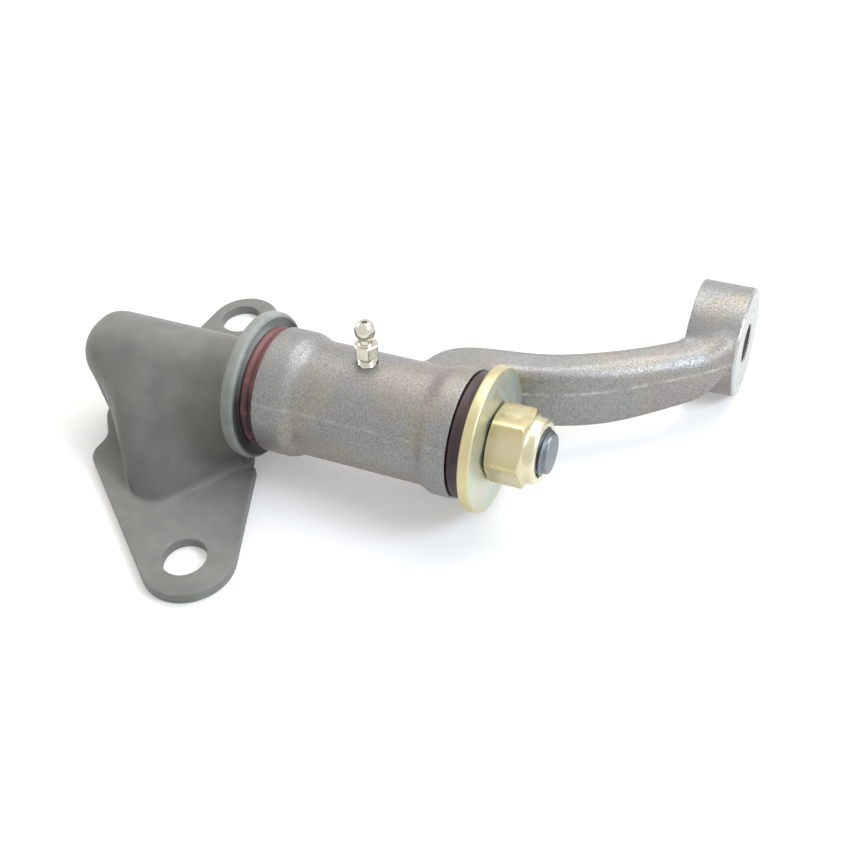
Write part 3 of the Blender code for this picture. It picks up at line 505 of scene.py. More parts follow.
def lathe(profile, steps=128, closed=True):
    """Turns a profile of (x, radius) points about the X axis. A closed profile makes a ring."""
    bm = bmesh.new()
    angles = [2 * math.pi * k / steps for k in range(steps)]
    loops = []
    for x, radius in profile:
        if radius < 1e-9:
            loops.append([bm.verts.new((x, 0, 0))])
        else:
            loops.append([bm.verts.new((x, radius * math.cos(a), radius * math.sin(a))) for a in angles])
    pairs = list(zip(loops, loops[1:]))
    if closed:
        pairs.append((loops[-1], loops[0]))
    for first, second in pairs:
        for k in range(steps):
            corners = [first[k % len(first)], first[(k + 1) % len(first)],
                       second[(k + 1) % len(second)], second[k % len(second)]]
            unique = list(dict.fromkeys(corners))
            if len(unique) > 2:
                bm.faces.new(unique)
    return bm


def bridge(bm, first, second, closed):
    """Joins two rows of vertices with faces, round and round where the rows are closed."""
    count = len(first)
    for k in range(count if closed else count - 1):
        bm.faces.new((first[k], first[(k + 1) % count], second[(k + 1) % count], second[k]))


def chamfer(face, slope, inner, radii):
    """Points of a hexagon's chamfer, a cone that leaves the face's plane at its inner radius."""
    return [(face + slope * (radius - inner), radius) for radius in radii]


def trim_to_hexagon(bm, start, end, across_flats, sharpness=22):
    """Brings what lies between two faces inside a hexagon about the X axis, with corners that crisp."""
    for vert in bm.verts:
        if start - 1e-6 <= vert.co.x <= end + 1e-6:
            radius = math.hypot(vert.co.y, vert.co.z)
            angle = math.atan2(vert.co.z, vert.co.y)
            total = sum(abs(math.cos(angle - k * math.pi / 3)) ** sharpness for k in range(3))
            limit = across_flats / 2 * total ** (-1 / sharpness)
            if radius > limit:
                vert.co.y *= limit / radius
                vert.co.z *= limit / radius


def make_piece(name, bm, materials, matrix=FIXED, crease=32):
    """A finished piece: its place is in its mesh, faces out, smooth up to the crease angle."""
    bmesh.ops.remove_doubles(bm, verts=bm.verts, dist=1e-7)
    bmesh.ops.recalc_face_normals(bm, faces=bm.faces)
    mesh = bpy.data.meshes.new(name)
    bm.to_mesh(mesh)
    bm.free()
    mesh.transform(matrix)
    for material in materials:
        mesh.materials.append(material)
    mesh.shade_smooth()
    mesh.set_sharp_from_angle(angle=math.radians(crease))
    piece = bpy.data.objects.new(name, mesh)
    bpy.context.collection.objects.link(piece)
    return piece


def dress(piece, body, node):
    """Says what the piece rides on, and hides the part that it stands for."""
    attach(piece, body)
    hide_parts(node)


def evaluated_mesh(piece):
    """The piece's mesh as its modifiers leave it."""
    graph = bpy.context.evaluated_depsgraph_get()
    graph.update()
    return bpy.data.meshes.new_from_object(piece.evaluated_get(graph), depsgraph=graph)


# Helix, for threads and the spring

def helix_tree():
    """Geometry nodes: a wire of so many sides wound on a cylinder about the X axis."""
    tree = bpy.data.node_groups.new("helix", "GeometryNodeTree")
    tree.interface.new_socket("Geometry", in_out="OUTPUT", socket_type="NodeSocketGeometry")
    for kind, names in (("NodeSocketFloat", ("Radius", "Pitch", "Turns", "Wire Radius", "Start")),
                        ("NodeSocketInt", ("Sides", "Steps")), ("NodeSocketMaterial", ("Finish",))):
        for name in names:
            tree.interface.new_socket(name, in_out="INPUT", socket_type=kind)
    add = partial(add_node, tree)
    sizes = add("NodeGroupInput").outputs
    height = add(MATH, (sizes["Pitch"], sizes["Turns"]), operation="MULTIPLY")
    spiral = add("GeometryNodeCurveSpiral", {
        "Resolution": sizes["Steps"], "Rotations": sizes["Turns"], "Start Radius": sizes["Radius"],
        "End Radius": sizes["Radius"], "Height": height})
    upright = add("GeometryNodeSetCurveNormal", {"Curve": spiral}, mode="Z_UP")
    wire = add("GeometryNodeCurvePrimitiveCircle", {
        "Resolution": sizes["Sides"], "Radius": sizes["Wire Radius"]})
    solid = add("GeometryNodeCurveToMesh", {"Curve": upright, "Profile Curve": wire, "Fill Caps": True})
    offset = add("ShaderNodeCombineXYZ", {"X": sizes["Start"]})
    turned = add("GeometryNodeTransform", {
        "Geometry": solid, "Rotation": (0, math.pi / 2, 0), "Translation": offset})
    real = add("GeometryNodeRealizeInstances", {"Geometry": turned})
    painted = add("GeometryNodeSetMaterial", {"Geometry": real, "Material": sizes["Finish"]})
    add("NodeGroupOutput", {"Geometry": painted})
    return tree


def helix_mesh(tree, sizes):
    """Runs the helix nodes once with the given sizes and returns a plain mesh."""
    carrier = bpy.data.objects.new("helix_carrier", bpy.data.meshes.new("helix_carrier"))
    bpy.context.collection.objects.link(carrier)
    modifier = carrier.modifiers.new("helix", "NODES")
    modifier.node_group = tree
    for item in tree.interface.items_tree:
        if item.in_out == "INPUT":
            modifier[item.identifier] = sizes[item.name]
    mesh = evaluated_mesh(carrier)
    carrier.modifiers.remove(modifier)
    bpy.data.objects.remove(carrier, do_unlink=True)
    return mesh


# Bracket stamping

def foot_path(corner, side):
    """The line where the pocket's wall meets the plate, from the mouth round to the closed end."""
    mouth = (MOUTH_X, side * (CREST_RADIUS + MOUTH_SPREAD))
    return rounded([mouth, corner, (NECK_X, side * NECK_SHOULDER), (NECK_X, 0)],
                   [0, BUTTRESS_RADIUS, CREST_RADIUS, 0], steps=24)


def along(path, fraction):
    """The point at a fraction of a path's length."""
    lengths = [(b - a).length for a, b in zip(path, path[1:])]
    target = fraction * sum(lengths)
    for start, end, length in zip(path, path[1:], lengths):
        if target <= length:
            return start.lerp(end, target / length)
        target -= length
    return path[-1].copy()


def foot_fraction(crest_fraction):
    """Shares the pocket's ribs out between its crest and its foot."""
    for (x0, y0), (x1, y1) in zip(RIB_SHARES, RIB_SHARES[1:]):
        if crest_fraction <= x1:
            return y0 + (y1 - y0) * (crest_fraction - x0) / (x1 - x0)
    return 1.0


def rib_profile(reach_out, crest, fillet, inward):
    """One rib's section as (distance out, height): crest arc, straight wall, foot fillet."""
    crest_centre = Vector((0, AXIS_ABOVE_PLATE))
    foot_centre = Vector((reach_out, fillet))
    line = foot_centre - crest_centre
    along_line = line.normalized()
    outward = Vector((-along_line.y, along_line.x))
    cosine = (crest + fillet) / line.length
    normal = along_line * cosine + outward * math.sqrt(1 - cosine * cosine)
    lean = math.degrees(math.atan2(normal.y, normal.x))
    top = arc(crest_centre, crest - inward, 90, lean, CREST_STEPS)
    bottom = arc(foot_centre, fillet + inward, 180 + lean, 270, FILLET_STEPS)
    start, end = Vector(top[-1]), Vector(bottom[0])
    return top + [tuple(start.lerp(end, k / WALL_STEPS)) for k in range(1, WALL_STEPS)] + bottom


def pocket_rib(path, side, fraction, inward):
    """The points of one rib in space, from the crest down to the plate."""
    straight = MOUTH_X - CREST_END_X
    turn = CREST_RADIUS * math.pi / 2
    travelled = fraction * (straight + turn)
    centre = Vector((MOUTH_X - min(travelled, straight), 0))
    angle = math.radians(side * (90 + 90 * max(travelled - straight, 0.0) / turn))
    outward = Vector((math.cos(angle), math.sin(angle)))
    sideways = Vector((-outward.y, outward.x))
    foot = along(path, foot_fraction(fraction)) - centre
    square = FRONT_END_SQUARENESS if side < 0 else REAR_END_SQUARENESS
    stretch = (abs(outward.x) ** square + abs(outward.y) ** square) ** (-1 / square)
    reach_out = foot.dot(outward) / stretch
    shift = foot.dot(sideways)
    flare = max(0.0, 1 - travelled / MOUTH_FLARE_LENGTH)
    crest = CREST_RADIUS + MOUTH_FLARE * flare * flare
    fillet = min(max(reach_out - crest, NECK_FILLET), FOOT_FILLET)
    top = AXIS_ABOVE_PLATE + crest
    points = []
    for out, height in rib_profile(reach_out, crest, fillet, inward):
        fallen = (top - inward - height) / top
        place = centre + outward * out * stretch + sideways * shift * fallen ** 2
        points.append(Vector((place.x, place.y, height - AXIS_ABOVE_PLATE)))
    return points


def pocket_skin(bm, inward):
    """One face of the pocket's sheet: rows of vertices from the mouth's front round to its rear."""
    fronts = foot_path(BUTTRESS_FRONT, -1)
    rears = foot_path(BUTTRESS_REAR, 1)
    rows = [pocket_rib(fronts, -1, k / RIBS, inward) for k in range(RIBS + 1)]
    rows += [pocket_rib(rears, 1, k / RIBS, inward) for k in range(RIBS - 1, -1, -1)]
    skin = [[bm.verts.new(point) for point in row] for row in rows]
    for left, right in zip(skin, skin[1:]):
        bridge(bm, left, right, False)
    return skin


def lobe_centre(side):
    """A bolt hole's centre: the front hole is at side -1, the rear one at side 1."""
    half = BOLT_SPACING / 2
    place = Vector((-side * half * math.sin(BOLT_SKEW), side * half * math.cos(BOLT_SKEW)))
    return place - AXIS_PLACE.xy


def tangent(centre, radius, point, side):
    """Where a line from the point touches a circle, on the side that is asked for."""
    spoke = Vector(point) - centre
    lean = side * math.acos(radius / spoke.length)
    spoke.rotate(Matrix.Rotation(lean, 2))
    return centre + spoke.normalized() * radius


def lobe_arc(side, before, after):
    """The rounded end of the plate about one bolt hole, between its two straight edges."""
    radius = FRONT_LOBE_RADIUS if side < 0 else REAR_LOBE_RADIUS
    centre = lobe_centre(side) + Vector((LOBE_SHIFT, 0))
    first = tangent(centre, radius, before, -1) - centre
    last = tangent(centre, radius, after, 1) - centre
    start = math.degrees(math.atan2(first.y, first.x))
    end = math.degrees(math.atan2(last.y, last.x))
    return [Vector(point) for point in arc(centre, radius, start, end - 360 * (end > start), 48)]


def plate_outline():
    """The blank's edge, clockwise from the mouth's front corner to its rear corner."""
    mouth_x = MOUTH_X + MOUTH_TAB
    mouth_y = CREST_RADIUS + MOUTH_SPREAD - MOUTH_TAB / 2
    neck_x = NECK_X - NECK_MARGIN
    mouth = Vector((mouth_x, -mouth_y))
    front_lobe = lobe_arc(-1, mouth, FRONT_CORNER)
    rear_lobe = lobe_arc(1, REAR_WAIST, REAR_CORNER)
    left = [front_lobe[-1], FRONT_CORNER, FRONT_WAIST, (neck_x, -NECK_SHOULDER), (neck_x, NECK_SHOULDER),
            REAR_WAIST, rear_lobe[0]]
    left = rounded(left, [0, CORNER_RADIUS, CORNER_RADIUS, CREST_RADIUS, CREST_RADIUS, CORNER_RADIUS, 0], 14)
    right = [rear_lobe[-1], REAR_CORNER, (REAR_CORNER[0], mouth_y), (mouth_x, mouth_y)]
    right = rounded(right, [0, CORNER_RADIUS, CORNER_RADIUS / 2, 0], 14)
    return [mouth] + front_lobe + left[1:-1] + rear_lobe + right[1:]


def inset(path, distance, closed):
    """The path moved to its right-hand side, which is the metal's side on a clockwise edge."""
    moved = []
    for i, point in enumerate(path):
        before = path[i - 1] if i or closed else path[i]
        after = path[(i + 1) % len(path)] if i + 1 < len(path) or closed else path[i]
        heading = (after - before).normalized()
        moved.append(point + Vector((heading.y, -heading.x)) * distance)
    return moved


def cut_edge(bm, path, roll, closed):
    """A cut edge of the plate: rows of vertices from its rolled top edge to its bottom face."""
    steps = arc((roll, SHEET - roll), roll, 90, 180, 5) + [(0.0, roll / 3), (roll / 3, 0.0)]
    rows = [[bm.verts.new((p.x, p.y, height - AXIS_PLACE.z)) for p in inset(path, inward, closed)]
            for inward, height in steps]
    for upper, lower in zip(rows, rows[1:]):
        bridge(bm, upper, lower, closed)
    return rows


def fill_plate(bm, loops):
    """Fills one face of the plate between its outer edge and its holes."""
    flat = [vert for loop in loops for vert in loop]
    for triangle in tessellate_polygon([[Vector((v.co.x, v.co.y, 0)) for v in loop] for loop in loops]):
        if len({flat[k] for k in triangle}) == 3:
            bm.faces.new([flat[k] for k in triangle])


def bracket_stamping(paint):
    """One stamping: a skewed two-bolt plate with a tapered pocket drawn up for the shaft."""
    bm = bmesh.new()
    skins = [pocket_skin(bm, inward) for inward in (0.0, SHEET)]
    edge = cut_edge(bm, plate_outline(), SHEAR_ROLL, False)
    circles = [arc(lobe_centre(side), BOLT_HOLE_RADIUS, 0, 360, 64)[:-1] for side in (-1, 1)]
    holes = [cut_edge(bm, [Vector(p) for p in circle], HOLE_ROLL, True) for circle in circles]
    for skin, layer in zip(skins, (0, -1)):
        fill_plate(bm, [edge[layer] + [row[-1] for row in skin][::-1]] + [hole[layer] for hole in holes])
    for k in (0, -1):
        bridge(bm, skins[0][k], skins[1][k], False)
        rim = [skins[0][k][-1]] + [row[k] for row in edge] + [skins[1][k][-1]]
        bm.faces.new(rim if k == 0 else rim[::-1])
    piece = make_piece("bracket_stamping", bm, [paint], crease=38)
    dress(piece, "bracket", "idler_bracket")


# Turned pieces

def thrust_ring(paint):
    """The ring at the pocket's mouth, its rim turned round and its face relieved for the seal."""
    bore = TAIL_RADIUS + SEAT_GAP
    land = SEAL_RADIUS + COLLAR_LAND_MARGIN
    edge = COLLAR_RADIUS - COLLAR_RIM
    relief = COLLAR_FACE - COLLAR_RELIEF
    profile = [(COLLAR_START, bore), (COLLAR_START, edge)]
    profile += arc((COLLAR_START + COLLAR_RIM, edge), COLLAR_RIM, 180, 90, 10)[1:]
    profile += arc((COLLAR_FACE - COLLAR_RIM, edge), COLLAR_RIM, 90, 0, 10)
    profile += [(COLLAR_FACE - COLLAR_LIP_DROP, edge - COLLAR_LIP), (relief, land + COLLAR_RELIEF_SLOPE),
                (relief, land), (COLLAR_FACE, land), (COLLAR_FACE, bore)]
    piece = make_piece("thrust_ring", lathe(profile, 160), [paint])
    dress(piece, "bracket", "thrust_collar")


def dust_seal(name, start, end, node, rubber):
    """A rubber ring with a lip at each face and a shallow groove between them."""
    width = end - start
    lip = width * SEAL_LIP_SHARE
    profile = [(start, SEAL_BORE), (start, SEAL_RADIUS - lip)]
    profile += arc((start + lip, SEAL_RADIUS - lip), lip, 180, 90, 5)[1:]
    for share in (k / 10 for k in range(11)):
        x = start + width * (SEAL_GROOVE_START + SEAL_GROOVE_SHARE * share)
        profile.append((x, SEAL_RADIUS - lip * math.sin(math.pi * share)))
    profile += arc((end - lip, SEAL_RADIUS - lip), lip, 90, 0, 5)
    profile.append((end, SEAL_BORE))
    dress(make_piece(name, lathe(profile), [rubber], MOVING), "arm", node)


def washer_disc(zinc):
    """A stamped washer, its edges rolled over by tumbling."""
    profile = softened([(WASHER_START, STUD_BORE), (WASHER_START, WASHER_RADIUS), (WASHER_END, WASHER_RADIUS),
                        (WASHER_END, STUD_BORE)], WASHER_ROLL, 6)
    dress(make_piece("washer_disc", lathe(profile, 160), [zinc]), "bracket", "plate_washer")


def nut_with_collar(zinc):
    """A lock nut: chamfered hexagon that flows up into a domed collar, rolled in over the insert."""
    hex_end = NUT_START + NUT_HEX_HEIGHT
    corner = NUT_ACROSS_FLATS / math.sqrt(3)
    inner = NUT_ACROSS_FLATS / 2 * NUT_FACE_SHARE
    flow = inner + NUT_BLEND
    profile = [(NUT_START, STUD_BORE + NUT_BORE_CHAMFER), (NUT_START, inner)]
    profile += chamfer(NUT_START, NUT_CHAMFER_SLOPE / 2, inner, np.linspace(inner, corner, 10)[1:])
    profile += chamfer(hex_end, -NUT_CHAMFER_SLOPE, inner, np.linspace(corner, flow, 12))
    start = Vector((hex_end - NUT_BLEND * NUT_CHAMFER_SLOPE, flow))
    middle = Vector((hex_end + 0.2 * MM, NUT_COLLAR_RADIUS + 0.1 * MM))
    end = Vector((hex_end + NUT_COLLAR_STEP, NUT_COLLAR_RADIUS))
    profile += [rounding(start, middle, end, k / 8) for k in range(1, 9)]
    dome = NUT_END - hex_end - NUT_COLLAR_STEP
    for x, radius in arc((0, 0), 1.0, 90, 0, 16)[1:]:
        profile.append((NUT_END - dome + dome * x, NUT_COLLAR_RADIUS - NUT_COLLAR_ROLL * (1 - radius)))
    seat = INSERT_RADIUS + SEAT_GAP
    mouth = STUD_BORE + NUT_MOUTH_MARGIN
    profile += [(NUT_END, mouth + 0.55 * MM), (NUT_END - NUT_LIP, mouth + NUT_LIP),
                (INSERT_END + SEAT_GAP, mouth), (INSERT_END + SEAT_GAP, seat),
                (INSERT_START - SEAT_GAP, seat), (INSERT_START - SEAT_GAP, STUD_BORE),
                (NUT_START + NUT_BORE_CHAMFER, STUD_BORE)]
    bm = lathe(profile, 216)
    trim_to_hexagon(bm, NUT_START, hex_end, NUT_ACROSS_FLATS)
    piece = make_piece("nut_with_collar", bm, [zinc], FIXED @ Matrix.Rotation(NUT_TURN, 4, "X"), 24)
    dress(piece, "bracket", "lock_nut")


def nylon_insert(nylon):
    """The ring that grips the stud, seen as a pale line inside the nut's collar."""
    profile = softened([(INSERT_START, STUD_BORE), (INSERT_START, INSERT_RADIUS), (INSERT_END, INSERT_RADIUS),
                        (INSERT_END, STUD_BORE)], 0.3 * MM)
    dress(make_piece("nylon_insert", lathe(profile, 96), [nylon]), "bracket", "nut_insert")


def shaft_with_stud(steel, helix):
    """The stepped shaft, with a real thread where its stud comes out of the nut."""
    shoulder = WASHER_START - SEAT_GAP
    core = STUD_CORE_RADIUS
    profile = [
        (SHAFT_TAIL, 0.0), (SHAFT_TAIL, TAIL_RADIUS - TAIL_CHAMFER), (SHAFT_TAIL + TAIL_CHAMFER, TAIL_RADIUS),
        (SEAT_GAP, TAIL_RADIUS), (SEAT_GAP, JOURNAL_RADIUS), (shoulder - JOURNAL_CHAMFER, JOURNAL_RADIUS),
        (shoulder, JOURNAL_RADIUS - JOURNAL_CHAMFER), (shoulder, core)]
    profile += arc((STUD_END - STUD_EDGE, core - STUD_EDGE), STUD_EDGE, 90, 0, 6) + [(STUD_END, 0.0)]
    bm = lathe(profile, 96, closed=False)
    length = STUD_END - STUD_THREAD_STOP - NUT_START
    bm.from_mesh(helix_mesh(helix, {
        "Radius": STUD_RADIUS - STUD_PITCH / 2, "Pitch": STUD_PITCH, "Turns": length / STUD_PITCH,
        "Wire Radius": STUD_PITCH / 2, "Sides": 4, "Steps": 64, "Start": NUT_START, "Finish": steel}))
    piece = make_piece("shaft_with_stud", bm, [steel], crease=28)
    dress(piece, "bracket", "pivot_shaft")


# Forged arm

def bezier(points, t):
    """A place on a cubic curve, and its heading there."""
    a, b, c, d = (Vector(point) for point in points)
    s = 1 - t
    place = a * s**3 + b * 3 * s * s * t + c * 3 * s * t * t + d * t**3
    heading = (b - a) * 3 * s * s + (c - b) * 6 * s * t + (d - c) * 3 * t * t
    return place, heading.normalized()


def drafted_quarter(half_width, half_depth, radius):
    """A quarter of the forging's section: drafted side, then the rounded edge to the top."""
    draft = (half_depth - radius) * math.tan(ARM_DRAFT)
    corner = (half_width - draft - radius, half_depth - radius)
    return [(half_width, 0.0)] + arc(corner, radius, 0, 90, 10)


def section_between(outer, inner, depth, level, brow=ARM_EDGE_RADIUS):
    """The forging's section between its outer and inner side; the brow is the inner upper edge's radius."""
    middle = (outer + inner) / 2
    across = (inner - outer).normalized()
    half_width = (inner - outer).length / 2
    quarter = drafted_quarter(half_width, depth / 2, ARM_EDGE_RADIUS)
    points = drafted_quarter(half_width, depth / 2, brow) + [(-x, y) for x, y in quarter[::-1]]
    points += [(-x, -y) for x, y in quarter[1:]] + [(x, -y) for x, y in quarter[:0:-1]]
    ring = []
    for side, height in dict.fromkeys(points):
        point = middle + across * side
        ring.append((point.x, point.y, level + height))
    return ring


def knee():
    """Outer and inner side of the arm where it has cleared the washer, and where it heads there."""
    heading = Vector((math.cos(ARM_TURN), math.sin(ARM_TURN)))
    inner = Vector((WASHER_END, WASHER_RADIUS + ARM_CLEARANCE)) + heading * (KNEE_REACH / heading.x)
    return inner + Vector((-heading.y, heading.x)) * ARM_WIDTH, inner, heading


def elbow_sections(outer_knee, inner_knee, heading, count=24):
    """Turns the arm out of the barrel: a broad outer curve and a tight inner one past the seal."""
    root_end = BARREL_END - ROOT_INSET
    root_start = root_end - ROOT_WIDTH
    root_depth = BARREL_BORE - ROOT_SINK
    corner = inner_knee.y - (inner_knee.x - root_end) * math.tan(ARM_TURN)
    outer = [(root_start, root_depth), (root_start, outer_knee.y - ELBOW_RISE),
             outer_knee - heading * ELBOW_RUN, outer_knee]
    inner = [(root_end, root_depth), (root_end, corner - ELBOW_TUCK), (root_end, corner), inner_knee]
    rings = []
    for share in (k / count for k in range(count)):
        depth = between(ROOT_DEPTH, ARM_DEPTH, smooth(share))
        level = between(0.0, -ARM_LOWERED, smooth(share))
        rings.append(section_between(bezier(outer, share)[0], bezier(inner, share)[0], depth, level))
    return rings


def sweep_sections(start, heading, count=48):
    """Carries the arm in one long bend to the eye, rising to its middle and getting slimmer."""
    eye = Vector((EYE_FRONT - EYE_THICKNESS / 2, ARM_LENGTH))
    line = [start, start + heading * SWEEP_START,
            eye + Vector((SWEEP_BELLY, -SWEEP_DROP)), eye - Vector((0, SWEEP_STOP))]
    rings = []
    for share in (k / count for k in range(count + 1)):
        place, forward = bezier(line, share)
        taper = rising(share, TAPER_START)
        across = Vector((forward.y, -forward.x))
        half_width = between(ARM_WIDTH, EYE_ROOT_WIDTH, taper) / 2
        flare = EYE_FLARE * rising(share, FLARE_START)
        lift = EYE_LIFT * rising(share, LIFT_START)
        rise = EYE_RISE * rising(share, LIFT_START)
        depth = between(ARM_DEPTH, EYE_ROOT_DEPTH, taper) - lift + rise
        level = between(-ARM_LOWERED, 0.0, taper) + (lift + rise) / 2
        brow = between(ARM_EDGE_RADIUS, BROW_RADIUS, smooth(share / BROW_RUN))
        outer = place - across * half_width
        inner = place + across * (half_width + flare)
        rings.append(section_between(outer, inner, depth, level, min(brow, depth / 2.2)))
    return rings


def arm_sections():
    """Sections from inside the barrel's wall, past the washer and round to the eye."""
    outer, inner, heading = knee()
    return elbow_sections(outer, inner, heading) + sweep_sections((outer + inner) / 2, heading)


def barrel_profile():
    """The barrel's outside with its swollen ends, longer than finished by the machining stock."""
    swell = BARREL_END_RADIUS - BARREL_RADIUS
    start = BARREL_START - MACHINING_STOCK
    end = BARREL_END + MACHINING_STOCK
    rear = BARREL_START + REAR_SWELL
    front = BARREL_END - FRONT_SWELL
    shares = [k / 16 for k in range(17)]
    profile = [(start, 0.0), (start, BARREL_END_RADIUS)]
    profile += [(rear + REAR_SWELL_RUN * s, BARREL_END_RADIUS - swell * smooth(s)) for s in shares]
    profile += [(front - FRONT_SWELL_RUN * (1 - s), BARREL_RADIUS + swell * smooth(s)) for s in shares]
    return profile + [(end, BARREL_END_RADIUS), (end, 0.0)]


def forging_blank():
    """Barrel, arm and eye as three overlapping closed solids in one mesh."""
    bm = lathe(barrel_profile(), closed=False)
    rings = [[bm.verts.new(place) for place in ring] for ring in arm_sections()]
    for first, second in zip(rings, rings[1:]):
        bridge(bm, first, second, True)
    bm.faces.new(rings[0][::-1])
    bm.faces.new(rings[-1])
    back = EYE_BACK - MACHINING_STOCK
    front = EYE_FRONT + MACHINING_STOCK
    eye = lathe([(back, 0.0), (back, EYE_RADIUS), (front, EYE_RADIUS), (front, 0.0)], closed=False)
    bmesh.ops.translate(eye, verts=eye.verts, vec=(0, ARM_LENGTH, 0))
    mesh = bpy.data.meshes.new("eye_blank")
    eye.to_mesh(mesh)
    eye.free()
    bm.from_mesh(mesh)
    return make_piece("forging_blank", bm, [], Matrix.Identity(4))


def read_rows(items, key, width, kind=np.float64):
    """One property of all a mesh's vertices, edges or normals, as rows of an array."""
    values = np.empty(len(items) * width, dtype=kind)
    items.foreach_get(key, values)
    return values.reshape(-1, width)


def move_vertices(mesh, points):
    mesh.vertices.foreach_set("co", points.ravel())
    mesh.update()


def relax(points, edges, weights, rounds, normals=None):
    """Lets each point drift towards the middle of its neighbours; with normals, hollows only fill up."""
    counts = np.bincount(edges.ravel(), minlength=len(points))[:, None]
    for _ in range(rounds):
        total = np.zeros_like(points)
        np.add.at(total, edges[:, 0], points[edges[:, 1]])
        np.add.at(total, edges[:, 1], points[edges[:, 0]])
        drift = total / counts - points
        if normals is not None:
            drift = normals * np.clip((drift * normals).sum(1), 0, None)[:, None]
        points += drift * weights[:, None]
    return points


def junction_weights(points):
    """How strongly to round each place: fully where the arm leaves the barrel and joins the eye."""
    x, y, z = points.T
    from_axis = np.hypot(y, z)
    from_eye = np.hypot(y - ARM_LENGTH, z)
    by_root = (x > BARREL_END - ROOT_WIDTH - 8 * MM) & (x < BARREL_END - ROOT_INSET)
    arm_side = y > BARREL_RADIUS * 0.3
    by_neck = (x > EYE_BACK - 6 * MM) & (y < ARM_LENGTH - EYE_RADIUS * 0.35)
    root = np.exp(-((from_axis - BARREL_RADIUS - 1.0 * MM) / ROOT_BLEND) ** 2) * (by_root & arm_side)
    neck = np.exp(-((from_eye - EYE_RADIUS) / EYE_BLEND) ** 2) * by_neck
    return np.clip(np.maximum(root, neck), 0, 1)


def from_parting_line(points):
    """Each place's distance from the dies' parting line, round the barrel and along the arm."""
    x, y, z = points.T
    turned = math.cos(BARREL_PARTING) * z + math.sin(BARREL_PARTING) * y
    knee_y = WASHER_RADIUS + ARM_CLEARANCE
    climb = np.clip((y - knee_y) / (ARM_LENGTH - EYE_RADIUS - knee_y), 0, 1)
    level = PARTING_RISE - ARM_LOWERED * (1 - climb)
    return np.where(y < BARREL_END_RADIUS, turned, z - level)


def raise_parting_line(mesh, points):
    """Raises the ridge that the dies leave, lower on the barrel, and marks it for the forging's finish."""
    normals = read_rows(mesh.vertex_normals, "vector", 3)
    ridge = np.exp(-(from_parting_line(points) / PARTING_WIDTH) ** 2)
    ridge *= np.clip(1.6 - 2 * np.abs(normals[:, 2]), 0, 1)
    ridge *= np.where(points[:, 1] < BARREL_END_RADIUS, 0.45, 1.0)
    points[:, :2] += PARTING_HEIGHT * normals[:, :2] * ridge[:, None]
    move_vertices(mesh, points)
    mark = mesh.attributes.new("parting", "FLOAT", "POINT")
    mark.data.foreach_set("value", ridge.astype(np.float32))


def fused_forging():
    """Fuses the blank into one skin, rounds its junctions and raises the dies' parting line."""
    blank = forging_blank()
    fuse = blank.modifiers.new("fuse", "REMESH")
    fuse.mode = "VOXEL"
    fuse.voxel_size = FORGING_GRID
    mesh = evaluated_mesh(blank)
    bpy.data.objects.remove(blank, do_unlink=True)
    points = read_rows(mesh.vertices, "co", 3)
    edges = read_rows(mesh.edges, "vertices", 2, np.int32)
    everywhere = np.full(len(points), 0.5)
    points = relax(points, edges, everywhere, 5)
    move_vertices(mesh, points)
    normals = read_rows(mesh.vertex_normals, "vector", 3)
    points = relax(points, edges, 0.8 * junction_weights(points), 24, normals)
    points = relax(points, edges, 0.6 * junction_weights(points), 8)
    points = relax(points, edges, everywhere, 2)
    move_vertices(mesh, points)
    raise_parting_line(mesh, points)
    return mesh


def arm_cutters():
    """What machines the forging, each as its turned profile, its place, whether upright, and its steps."""
    over = CUTTER_OVERRUN
    wide = WASHER_RADIUS + ARM_CLEARANCE / 2
    start, end, past_washer = BARREL_START, BARREL_END, WASHER_END + 2 * MM
    bevel = BARREL_BORE + BORE_CHAMFER
    barrel = [(start - over, 0.0), (start - over, wide), (start, wide), (start, bevel),
              (start + BORE_CHAMFER, BARREL_BORE), (end - BORE_CHAMFER, BARREL_BORE), (end, bevel),
              (end, wide), (past_washer, wide), (past_washer, 0.0)]
    front, back, behind = EYE_FRONT, EYE_BACK, EYE_BACK - EYE_THICKNESS
    slack = 0.1 * MM
    edge = front - EYE_CHAMFER * 1.2
    front_face = [(front, 0.0), (front, EYE_RADIUS - EYE_CHAMFER), (edge, EYE_RADIUS + slack),
                  (edge, EYE_RADIUS + over), (front + over, EYE_RADIUS + over), (front + over, 0.0)]
    spot = EYE_RADIUS + SPOT_FACE_MARGIN
    spot_face = [(behind, 0.0), (behind, spot), (back + SPOT_FACE_RISE, spot), (back, EYE_RADIUS - EYE_RIM),
                 (back, 0.0)]
    behind = back - 1 * MM
    mouth = EYE_HOLE_RADIUS + EYE_TAPER * (1 + 1 * MM / EYE_THICKNESS)
    hole = [(behind, 0.0), (behind, mouth), (front - EYE_HOLE_CHAMFER, EYE_HOLE_RADIUS),
            (front + slack, EYE_HOLE_RADIUS + EYE_HOLE_CHAMFER + slack), (front + slack, 0.0)]
    tap = NIPPLE_THREAD_RADIUS + SEAT_GAP
    low, high = BARREL_BORE - 1 * MM, BARREL_RADIUS + 2 * MM
    tapping = [(low, 0.0), (low, tap), (high, tap), (high, 0.0)]
    eye = (0, ARM_LENGTH, 0)
    return [(barrel, (0, 0, 0), False, 160), (front_face, eye, False, 128), (spot_face, eye, False, 128),
            (hole, eye, False, 96), (tapping, (NIPPLE_X, 0, 0), True, 48)]


